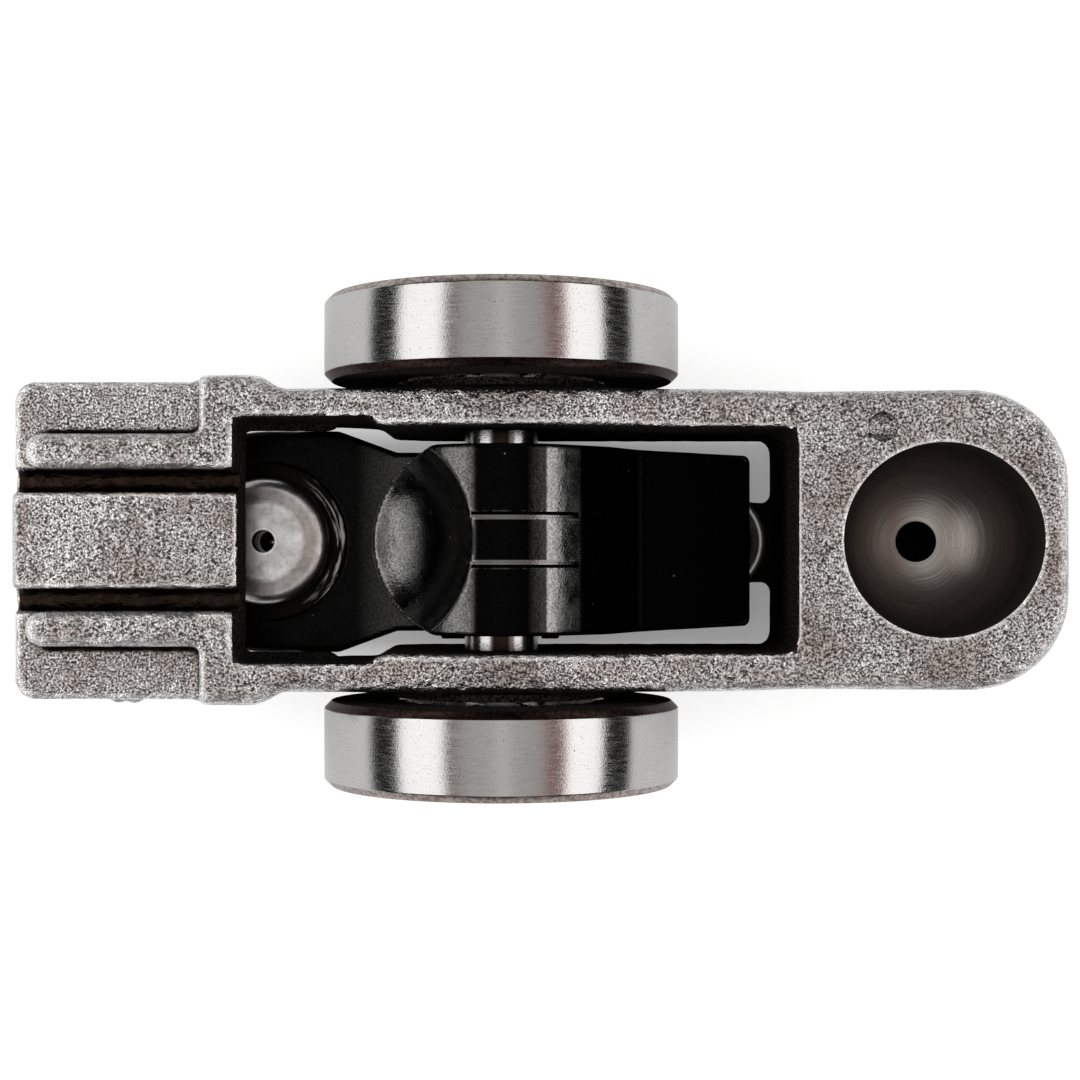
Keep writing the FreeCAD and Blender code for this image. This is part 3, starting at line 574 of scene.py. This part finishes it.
reach = put(lathe_group, "VectorMath", {0: flat.outputs[0]}, operation="LENGTH")
around = calc(lathe_group, "MULTIPLY", turn, enter.outputs["Around"])
along = calc(lathe_group, "MULTIPLY", axes.outputs["Y"], enter.outputs["Along"])
outward = calc(lathe_group, "MULTIPLY", reach.outputs["Value"], enter.outputs["Outward"])
drawn = put(lathe_group, "CombineXYZ", {0: around, 1: along, 2: outward})
marks = put(lathe_group, "TexNoise", {"Vector": drawn.outputs[0], "Scale": 1.0, "Detail": 4.0,
                                      "Roughness": 0.65})
bump = put(lathe_group, "Bump", {"Strength": 1.0, "Distance": enter.outputs["Depth"],
                                 "Height": marks.outputs["Fac"]})
lathe_group.links.new(bump.outputs["Normal"], leave.inputs["Normal"])
lathe_group.links.new(marks.outputs["Fac"], leave.inputs["Marks"])

bored_steel, tree, shader = new_metal("bored_steel", (0.17, 0.14, 0.125), 1.0, 0.34)
place = put(tree, "TexCoord").outputs["Object"]
upright = put(tree, "Mapping", {"Vector": place, "Location": (-socket_x, 0, 0)})
turned = put(tree, "Mapping", {"Vector": upright.outputs[0], "Rotation": (math.radians(90), 0, 0)})
rings = use_group(tree, lathe_group, {"Vector": turned.outputs[0], "Around": 0.5, "Along": 2500.0,
                                      "Outward": 9000.0, "Depth": 0.012 * MM})
mouth_shaded = mix_colors(tree, rings.outputs["Marks"], (0.10, 0.08, 0.07, 1), (0.24, 0.215, 0.2, 1))
out = from_axis(tree, place, socket_x)[1]
bright = remap(tree, out, socket_radius * BOWL_BRIGHTENING[0], socket_radius * BOWL_BRIGHTENING[1])
bottom_lit = mix_colors(tree, rings.outputs["Marks"], (0.24, 0.215, 0.195, 1), (0.75, 0.71, 0.67, 1))
bowl = mix_colors(tree, bright, mouth_shaded, bottom_lit)
tree.links.new(bowl, shader.inputs["Base Color"])
tree.links.new(rings.outputs["Normal"], shader.inputs["Normal"])
casting.data.materials.append(bored_steel)

# The walls in the arm's shade are painted matt black as painted shadow, flecked a little grey.
painted_shadow, tree, shader = new_metal("painted_shadow", SHADOW_BLACK[:3], 0.0, SHADOW_ROUGHNESS)
shader.inputs["Specular IOR Level"].default_value = 0.0
place = put(tree, "TexCoord").outputs["Object"]
film = use_group(tree, grain_group, {"Vector": place, "Size": 0.15 * MM, "Depth": 0.05 * MM,
                                     "Swell": 3.0})
flecked_black = mix_colors(tree, film.outputs["Pits"], SHADOW_BLACK, (0.034, 0.03, 0.027, 1))
tree.links.new(flecked_black, shader.inputs["Base Color"])
tree.links.new(film.outputs["Normal"], shader.inputs["Normal"])
casting.data.materials.append(painted_shadow)
# Faces in the oil hole and in the window's shade take the painted shadow, and faces in the socket the
# bored steel.
for face in casting.data.polygons:
    spot = face.center
    out = math.hypot(spot.x - socket_x, spot.y)
    half = WINDOW_HALF if spot.x > WINDOW_STEP else WINDOW_WIDE_HALF
    past = max(WINDOW_LEFT - spot.x, spot.x - WINDOW_RIGHT, abs(spot.y) - half)
    steep = abs(face.normal.z) < WALL_STEEPNESS
    if out < OIL_HOLE_RADIUS or past < 0 or (past < WALL_MARGIN and steep):
        face.material_index = 2
    elif out < socket_radius:
        face.material_index = 1
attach(casting, "arm")
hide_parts("arm_body")


# The gallery plug, a steel pin driven into the end of the oil way, and the roller axle, a ground
# pin through both walls.
AXLE_BAND = (0.4 * MM, 0.62 * MM)


def wear(material, *nodes):
    """Gives CAD nodes a material of the scene."""
    for node in nodes:
        slots = frame["nodes"][node].data.materials
        slots.clear()
        slots.append(material)


satin_steel, tree, shader = new_metal("satin_steel", (0.5, 0.48, 0.46), 1.0, 0.34)
place = put(tree, "TexCoord").outputs["Object"]
marks = use_group(tree, lathe_group, {"Vector": place, "Around": 3.0, "Along": 9000.0, "Outward": 9000.0,
                                      "Depth": 0.004 * MM})
shade = mix_colors(tree, marks.outputs["Marks"], (0.38, 0.36, 0.34, 1), (0.58, 0.56, 0.54, 1))
tree.links.new(shade, shader.inputs["Base Color"])
tree.links.new(marks.outputs["Normal"], shader.inputs["Normal"])
wear(satin_steel, "gallery_plug")

ground_steel, tree, shader = new_metal("ground_steel", (0.66, 0.65, 0.64), 1.0, 0.13)
place = put(tree, "TexCoord").outputs["Object"]
marks = use_group(tree, lathe_group, {"Vector": place, "Around": 14.0, "Along": 16000.0,
                                      "Outward": 6000.0, "Depth": 0.0035 * MM})
worn = remap(tree, marks.outputs["Marks"], 0.35, 0.65, to_low=0.10, to_high=0.22)
tree.links.new(worn, shader.inputs["Roughness"])
shade = mix_colors(tree, marks.outputs["Marks"], (0.40, 0.395, 0.39, 1), (0.66, 0.655, 0.65, 1))
fine = put(tree, "TexNoise", {"Vector": place, "Scale": 9000.0, "Detail": 3.0})
dots = remap(tree, fine.outputs["Fac"], 0.36, 0.27, to_high=0.75)
shade = mix_colors(tree, dots, shade, (0.10, 0.09, 0.085, 1))
rubbed = put(tree, "Bump", {"Strength": 1.0, "Distance": 0.004 * MM, "Height": fine.outputs["Fac"],
                            "Normal": marks.outputs["Normal"]})
tree.links.new(shade, shader.inputs["Base Color"])
tree.links.new(rubbed.outputs["Normal"], shader.inputs["Normal"])

# The axle's crown line mirrors the dark above the camera, so a brown band is painted along it as a
# painted reflection.
axle_steel = ground_steel.copy()
axle_steel.name = "axle_steel"
tree = axle_steel.node_tree
shader = tree.nodes["Principled BSDF"]
shade = shader.inputs["Base Color"].links[0].from_socket
axes = put(tree, "SeparateXYZ", {0: put(tree, "TexCoord").outputs["Object"]})
off_crown = calc(tree, "ABSOLUTE", axes.outputs["X"])
band = remap(tree, off_crown, AXLE_BAND[1], AXLE_BAND[0])
banded = mix_colors(tree, band, shade, (0.03, 0.02, 0.017, 1))
tree.links.new(banded, shader.inputs["Base Color"])
wear(axle_steel, "roller_axle")


# Each end of the axle carries an inner race pressed on against its inner washer, and round it a
# full ring of ground needles.
SIDES = ("left", "right")
NEEDLES = 12

for side in SIDES:
    wear(ground_steel, side + "_inner_race")
    # The inner washers sit in the shade between roller and arm and take the painted shadow.
    wear(painted_shadow, side + "_inner_washer")
    wear(ground_steel, *[f"{side}_needle_{number + 1:02d}" for number in range(NEEDLES)])


# The cam rollers: hardened rings, chamfered at both rims and ground round their faces, with a
# seat for the outer washer. One is modelled and the other is its mirror image.
ROLLER_STEPS = 224
OUTER_HALF = 12.0 * MM
FACING = 0.9
CHAMFER_FACING = 0.3
CHAMFER_REACH = 1.2
ROLLER_SMOOTH_ANGLE = math.radians(24)
ROLLER_CHAMFER = 0.42 * MM
ROLLER_SOFT_EDGE = 0.06 * MM
ROLLER_BORE = 5.88 * MM
SEAT_RADIUS = 6.75 * MM
SEAT_DEPTH = 0.95 * MM

scaled_steel, tree, shader = new_metal("scaled_steel", (0.06, 0.04, 0.035), 1.0, 0.34)
place = put(tree, "TexCoord").outputs["Object"]
scale_skin = use_group(tree, grain_group, {"Vector": place, "Size": 0.25 * MM, "Depth": 0.008 * MM})
shaded_scale_tone = mix_colors(tree, scale_skin.outputs["Pits"], (0.035, 0.022, 0.018, 1),
                        (0.10, 0.06, 0.05, 1))
# The scale is painted darker on the inner chamfers, in the shade towards the arm, and lighter on the
# outer ones: painted shade and painted light on real scale.
aside = calc(tree, "ABSOLUTE", put(tree, "SeparateXYZ", {0: place}).outputs["Y"])
outer = calc(tree, "GREATER_THAN", aside, OUTER_HALF)
lit_scale_tone = mix_colors(tree, scale_skin.outputs["Pits"], (0.20, 0.155, 0.14, 1), (0.46, 0.40, 0.37, 1))
shade = mix_colors(tree, outer, shaded_scale_tone, lit_scale_tone)
tree.links.new(shade, shader.inputs["Base Color"])
tree.links.new(scale_skin.outputs["Normal"], shader.inputs["Normal"])

roller_low, roller_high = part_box("left_roller")
roller_radius = (roller_high[0] - roller_low[0]) / 2


def select_edges(piece, wanted):
    """Selects a piece's edges by their two end points, in edit mode."""
    bpy.ops.object.mode_set(mode="EDIT")
    bpy.context.tool_settings.mesh_select_mode = (False, True, False)
    bpy.ops.mesh.select_all(action="DESELECT")
    bpy.ops.object.mode_set(mode="OBJECT")
    points = piece.data.vertices
    for edge in piece.data.edges:
        edge.select = wanted(points[edge.vertices[0]].co, points[edge.vertices[1]].co)
    bpy.ops.object.mode_set(mode="EDIT")


bpy.ops.object.select_all(action="DESELECT")
bpy.ops.mesh.primitive_cylinder_add(vertices=ROLLER_STEPS, radius=roller_radius,
                                    depth=roller_high[1] - roller_low[1],
                                    location=(0, (roller_low[1] + roller_high[1]) / 2, 0),
                                    rotation=(math.radians(90), 0, 0))
roller = bpy.context.object
roller.name = "left_cam_roller"
bpy.ops.object.transform_apply(location=True, rotation=True, scale=True)
select_faces(roller, lambda centre, normal: normal.y > FACING)
bpy.ops.mesh.inset(thickness=roller_radius - SEAT_RADIUS)
bpy.ops.mesh.extrude_region_move(TRANSFORM_OT_translate={"value": (0, -SEAT_DEPTH, 0)})
bpy.ops.mesh.inset(thickness=SEAT_RADIUS - ROLLER_BORE)
bpy.ops.mesh.delete(type="FACE")
select_faces(roller, lambda centre, normal: normal.y < -FACING)
bpy.ops.mesh.inset(thickness=roller_radius - ROLLER_BORE)
bpy.ops.mesh.delete(type="FACE")
bore_limit = (ROLLER_BORE + SEAT_RADIUS) / 2


def on_bore(first, second):
    same_end = abs(first.y - second.y) < ROLLER_SOFT_EDGE
    return same_end and max(math.hypot(first.x, first.z), math.hypot(second.x, second.z)) < bore_limit


select_edges(roller, on_bore)
bpy.ops.mesh.bridge_edge_loops()


def on_rim(first, second):
    limit = roller_radius - ROLLER_SOFT_EDGE
    same_end = abs(first.y - second.y) < ROLLER_SOFT_EDGE
    return same_end and min(math.hypot(first.x, first.z), math.hypot(second.x, second.z)) > limit


select_edges(roller, on_rim)
bpy.ops.mesh.bevel(offset=ROLLER_CHAMFER, segments=1)


def on_soft_edge(first, second):
    out = math.hypot(first.x, first.z)
    same_end = abs(first.y - second.y) < ROLLER_SOFT_EDGE
    return same_end and out > roller_radius - ROLLER_CHAMFER * CHAMFER_REACH


select_edges(roller, on_soft_edge)
bpy.ops.mesh.bevel(offset=ROLLER_SOFT_EDGE, segments=2)
bpy.ops.mesh.select_all(action="SELECT")
bpy.ops.mesh.normals_make_consistent(inside=False)
bpy.ops.object.mode_set(mode="OBJECT")
bpy.ops.object.shade_smooth_by_angle(angle=ROLLER_SMOOTH_ANGLE)
roller.data.materials.append(ground_steel)
roller.data.materials.append(scaled_steel)
roller.data.materials.append(painted_shadow)
# The chamfers keep their scale, and the inner face, in the shade towards the arm, takes the painted
# shadow.
for face in roller.data.polygons:
    out = math.hypot(face.center.x, face.center.z)
    if out > roller_radius - ROLLER_CHAMFER and abs(face.normal.y) > CHAMFER_FACING:
        face.material_index = 1
    elif face.normal.y < -FACING:
        face.material_index = 2
rollers = {"left": roller}
twin = bpy.data.objects.new("right_cam_roller", roller.data.copy())
scene.collection.objects.link(twin)
select_only(twin)
edit_all()
bpy.ops.transform.resize(value=(1, -1, 1), center_override=(0, 0, 0))
bpy.ops.mesh.normals_make_consistent(inside=False)
bpy.ops.object.mode_set(mode="OBJECT")
rollers["right"] = twin
for side, piece in rollers.items():
    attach(piece, side + "_roller_set")
    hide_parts(side + "_roller")


# The outer washer of each roller, a stamped disc, and the open ring that snaps into the axle's
# groove over it.
spring_steel, tree, shader = new_metal("spring_steel", (0.66, 0.65, 0.64), 1.0, 0.42)
place = put(tree, "TexCoord").outputs["Object"]
drawn = put(tree, "TexNoise", {"Vector": place, "Scale": 3000.0, "Detail": 2.0})
shade = mix_colors(tree, drawn.outputs["Fac"], (0.5, 0.49, 0.48, 1), (0.86, 0.85, 0.84, 1))
tree.links.new(shade, shader.inputs["Base Color"])
for side in SIDES:
    wear(satin_steel, side + "_outer_washer")
    wear(spring_steel, side + "_retaining_ring")


# The centre lever: forged steel with a black oxide finish, oiled, with slightly softened edges.
# Its bush is rolled bronze.
LEVER_VOXEL = 0.155 * MM
LEVER_SMOOTHING = 2
HUB_RADIUS = 6.0 * MM
CROWN_HIGHLIGHTS = [
    (-21.0 * MM, 0.004),
    (-8.5 * MM, 0.006),
    (-7.6 * MM, 0.03),
    (-3.5 * MM, 0.10),
    (-1.55 * MM, 0.16),
    (-1.3 * MM, 0.004),
    (1.5 * MM, 0.003),
    (1.8 * MM, 0.03),
    (2.5 * MM, 0.03),
    (2.62 * MM, 0.30),
    (2.9 * MM, 0.24),
    (3.5 * MM, 0.17),
    (4.38 * MM, 0.13),
    (4.46 * MM, 0.002),
    (15.0 * MM, 0.0),
]
SCOOP_HIGHLIGHTS = [
    (-9.0 * MM, 0.2),
    (-6.2 * MM, 0.2),
    (-5.2 * MM, 0.1),
    (-4.3 * MM, 0.015),
    (-1.0 * MM, 0.003),
]
SCOOP_X = -8.1 * MM
SCOOP_Z = 5.8 * MM
SCOOP_RADIUS = 6.6 * MM
SCOOP_SKIN = 0.035 * MM
LINE_WIDTH = 0.07 * MM
EDGE_HIGHLIGHT_PAINT = (0.66, 0.95)
DUST_CELLS = 800.0
DUST_SIZE = 0.045
GROOVE_LOW = 3.9 * MM
GROOVE_REACH = 0.6 * MM
GROOVE_DEPTH = 0.3 * MM
GROOVE_WIDTH = 0.36 * MM
GROOVE_Y = 1.35 * MM
GROOVE_LEFT = -3.0 * MM
GROOVE_RIGHT = 4.3 * MM

lever = merged_copy("center_lever", "black_lever")
recast(lever, LEVER_VOXEL, LEVER_SMOOTHING)
for side in (-1, 1):
    bpy.ops.object.select_all(action="DESELECT")
    bpy.ops.mesh.primitive_cylinder_add(vertices=BORE_STEPS, radius=HUB_RADIUS + GROOVE_REACH,
                                        depth=GROOVE_WIDTH, end_fill_type="NOTHING",
                                        location=(0, side * GROOVE_Y, 0),
                                        rotation=(math.radians(90), 0, 0))
    band = bpy.context.object
    bpy.ops.object.transform_apply(location=True, rotation=True, scale=True)
    wall = band.modifiers.new("wall", "SOLIDIFY")
    wall.thickness = GROOVE_REACH + GROOVE_DEPTH
    wall.offset = -1
    bpy.ops.object.modifier_apply(modifier=wall.name)
    for x, outward in ((GROOVE_LEFT, -1), (GROOVE_RIGHT, 1)):
        edit_all()
        bpy.ops.mesh.bisect(plane_co=(x, 0, 0), plane_no=(outward, 0, 0), use_fill=True,
                            clear_outer=True)
        bpy.ops.object.mode_set(mode="OBJECT")
    edit_all()
    bpy.ops.mesh.bisect(plane_co=(0, 0, 0), plane_no=(0, 0, -1), use_fill=True, clear_outer=True)
    bpy.ops.mesh.select_all(action="SELECT")
    bpy.ops.mesh.normals_make_consistent(inside=False)
    bpy.ops.object.mode_set(mode="OBJECT")
    machine(lever, band)
paint_edges(lever)

black_oxide, tree, shader = new_metal("black_oxide", (0.002, 0.002, 0.002), 1.0, 0.2)
place = put(tree, "TexCoord").outputs["Object"]
peel = use_group(tree, grain_group, {"Vector": place, "Size": 0.11 * MM, "Depth": 0.012 * MM,
                                     "Swell": 2.0})
tree.links.new(peel.outputs["Normal"], shader.inputs["Normal"])
axes = put(tree, "SeparateXYZ", {0: place})


def highlights_by_length(tree, along, highlights):
    """The share of painted highlight at a place along the lever, from a list of places and shares."""
    return ramp_along(tree, along, [(x, (share, share, share, 1)) for x, share in highlights])


# Painted highlights: lighter base colour in bands across the crown and in the scoop's left half.
from_ball = put(tree, "VectorMath", {0: place, 1: (SCOOP_X, 0, SCOOP_Z)},
                operation="DISTANCE").outputs["Value"]
in_scoop = calc(tree, "LESS_THAN", from_ball, SCOOP_RADIUS + SCOOP_SKIN)
highlights = mix_colors(tree, in_scoop, highlights_by_length(tree, axes.outputs["X"], CROWN_HIGHLIGHTS),
                   highlights_by_length(tree, axes.outputs["X"], SCOOP_HIGHLIGHTS))
past_rim = calc(tree, "GREATER_THAN", from_ball, SCOOP_RADIUS + SCOOP_SKIN)
near_rim = calc(tree, "LESS_THAN", from_ball, SCOOP_RADIUS + SCOOP_SKIN + LINE_WIDTH)
scoop_rim = calc(tree, "MULTIPLY", past_rim, near_rim)
side = calc(tree, "ABSOLUTE", axes.outputs["Y"])
from_groove = calc(tree, "SUBTRACT", side, GROOVE_Y)
from_groove = calc(tree, "ABSOLUTE", from_groove)
high = calc(tree, "GREATER_THAN", axes.outputs["Z"], GROOVE_LOW)
short = calc(tree, "LESS_THAN", axes.outputs["X"], GROOVE_RIGHT)
on_band = calc(tree, "MULTIPLY", high, short)
groove = calc(tree, "LESS_THAN", from_groove, GROOVE_WIDTH / 2)
lip = calc(tree, "LESS_THAN", from_groove, GROOVE_WIDTH / 2 + LINE_WIDTH)
within = calc(tree, "LESS_THAN", side, GROOVE_Y)
lip = calc(tree, "MULTIPLY", lip, within)
lip = calc(tree, "MULTIPLY", lip, on_band)
groove = calc(tree, "MULTIPLY", groove, on_band)
line = calc(tree, "MAXIMUM", scoop_rim, lip)
speck = remap(tree, peel.outputs["Pits"], to_low=0.55, to_high=1.2)
highlight_share = calc(tree, "MULTIPLY", highlights, speck)
oxide = mix_colors(tree, highlight_share, (0.0006, 0.0006, 0.0006, 1), (1.0, 0.99, 0.98, 1))
# Convex edges get a light grey painted highlight.
edged = mix_colors(tree, edge_share(tree, *EDGE_HIGHLIGHT_PAINT), oxide, (0.16, 0.16, 0.16, 1))
# The grooves are painted black as painted shade, and thin painted highlight lines run along their lips
# and the scoop's rim.
grooved = mix_colors(tree, groove, edged, (0.0, 0.0, 0.0, 1))
lined = mix_colors(tree, line, grooved, (0.2, 0.2, 0.2, 1))
cells = put(tree, "TexVoronoi", {"Vector": place, "Scale": DUST_CELLS})
dust = calc(tree, "LESS_THAN", cells.outputs["Distance"], DUST_SIZE)
dusted = mix_colors(tree, dust, lined, (0.22, 0.21, 0.2, 1))
tree.links.new(dusted, shader.inputs["Base Color"])
oil = put(tree, "TexNoise", {"Vector": place, "Scale": 900.0, "Detail": 3.0})
film = remap(tree, oil.outputs["Fac"], 0.35, 0.65, to_low=0.13, to_high=0.28)
tree.links.new(film, shader.inputs["Roughness"])
lever.data.materials.append(black_oxide)
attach(lever, "lever")
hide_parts("center_lever")

bronze, tree, shader = new_metal("bronze", (0.5, 0.33, 0.15), 1.0, 0.35)
place = put(tree, "TexCoord").outputs["Object"]
marks = use_group(tree, lathe_group, {"Vector": place, "Around": 3.0, "Along": 9000.0, "Outward": 9000.0,
                                      "Depth": 0.004 * MM})
tree.links.new(marks.outputs["Normal"], shader.inputs["Normal"])
wear(bronze, "lever_bush")


# The hydraulic capsule: a blackened sleeve with painted glints in arcs on its collar, held by a snap
# ring, and in it the satin plunger with its check ball and cage. The plunger's dome is coloured in
# rings.
COLLAR_GLINT = (3.9 * MM, 4.05 * MM)
GLINT_SWEEP = (math.radians(62), math.radians(30))
GLINT_STRETCH = 0.5 * MM
SLEEVE_BLACK = (0.006, 0.0055, 0.005)
dome_low, dome_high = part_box("plunger")
dome_x = (dome_low[0] + dome_high[0]) / 2
black_sleeve, tree, shader = new_metal("black_sleeve", SLEEVE_BLACK, 1.0, 0.3)
place = put(tree, "TexCoord").outputs["Object"]
peel = use_group(tree, grain_group, {"Vector": place, "Size": 0.15 * MM, "Depth": 0.006 * MM})
axes, out = from_axis(tree, place, dome_x)
turn = calc(tree, "ARCTAN2", axes.outputs["Y"], axes.outputs["X"])
turned = calc(tree, "MULTIPLY", turn, GLINT_STRETCH)
sweep = put(tree, "CombineXYZ", {0: out, 1: turned})
wisps = put(tree, "TexNoise", {"Vector": sweep.outputs[0], "Scale": 4200.0, "Detail": 3.0})
wisp = remap(tree, wisps.outputs["Fac"], 0.5, 0.62)
aside = calc(tree, "ABSOLUTE", turn)
swept = remap(tree, aside, GLINT_SWEEP[0], GLINT_SWEEP[1])
collar = remap(tree, out, COLLAR_GLINT[0], COLLAR_GLINT[1])
facing = calc(tree, "MULTIPLY", swept, collar)
glint = calc(tree, "MULTIPLY", facing, wisp)
glinted = mix_colors(tree, glint, (*SLEEVE_BLACK, 1), (0.36, 0.35, 0.345, 1))
tree.links.new(glinted, shader.inputs["Base Color"])
tree.links.new(peel.outputs["Normal"], shader.inputs["Normal"])
wear(black_sleeve, "capsule_sleeve", "snap_ring")

# The dome's rings: black in its oil hole as painted shade, a white painted highlight round the hole's
# rim, then lighter and darker rings out to a dark edge.
DOME_RINGS = [
    (0.0 * MM, (0.0, 0.0, 0.0)),
    (0.655 * MM, (0.0, 0.0, 0.0)),
    (0.67 * MM, (1.0, 1.0, 1.0)),
    (0.76 * MM, (1.0, 1.0, 1.0)),
    (0.82 * MM, (0.84, 0.83, 0.82)),
    (1.9 * MM, (0.95, 0.945, 0.94)),
    (2.25 * MM, (1.0, 1.0, 1.0)),
    (2.45 * MM, (0.62, 0.58, 0.56)),
    (2.9 * MM, (0.7, 0.66, 0.64)),
    (3.15 * MM, (1.0, 1.0, 1.0)),
    (3.45 * MM, (0.8, 0.78, 0.77)),
    (3.7 * MM, (0.3, 0.28, 0.27)),
]
dome_steel, tree, shader = new_metal("dome_steel", (0.75, 0.74, 0.73), 1.0, 0.33)
place = put(tree, "TexCoord").outputs["Object"]
skin = use_group(tree, grain_group, {"Vector": place, "Size": 0.12 * MM, "Depth": 0.006 * MM})
mottle = put(tree, "TexNoise", {"Vector": place, "Scale": 1100.0, "Detail": 6.0, "Roughness": 0.7})
spread = remap(tree, mottle.outputs["Fac"], 0.3, 0.62)
satin = mix_colors(tree, spread, (0.5, 0.48, 0.46, 1), (1.0, 0.998, 0.995, 1))
out = from_axis(tree, place, dome_x)[1]
rings = ramp_along(tree, out, [(reach, (*shade, 1)) for reach, shade in DOME_RINGS])
ringed = mix_colors(tree, 1.0, satin, rings, blend="MULTIPLY")
tree.links.new(ringed, shader.inputs["Base Color"])
tree.links.new(skin.outputs["Normal"], shader.inputs["Normal"])
wear(dome_steel, "plunger")
wear(ground_steel, "check_ball")
wear(satin_steel, "check_cage")


# The springs, wound from round wire: the return spring between the lever's tail and the arm's
# ledge, and the two inside the capsule. The return spring's wire, which shows, is rounded.
COIL_ROUNDING = 2
wear(spring_steel, "plunger_spring", "check_spring")
spring = merged_copy("return_spring", "round_return_spring")
edit_all()
bpy.ops.mesh.tris_convert_to_quads()
bpy.ops.object.mode_set(mode="OBJECT")
rounding = spring.modifiers.new("rounding", "SUBSURF")
rounding.levels = COIL_ROUNDING
bpy.ops.object.modifier_apply(modifier=rounding.name)
bpy.ops.object.shade_smooth()
spring.data.materials.append(spring_steel)
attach(spring, "arm")
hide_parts("return_spring")
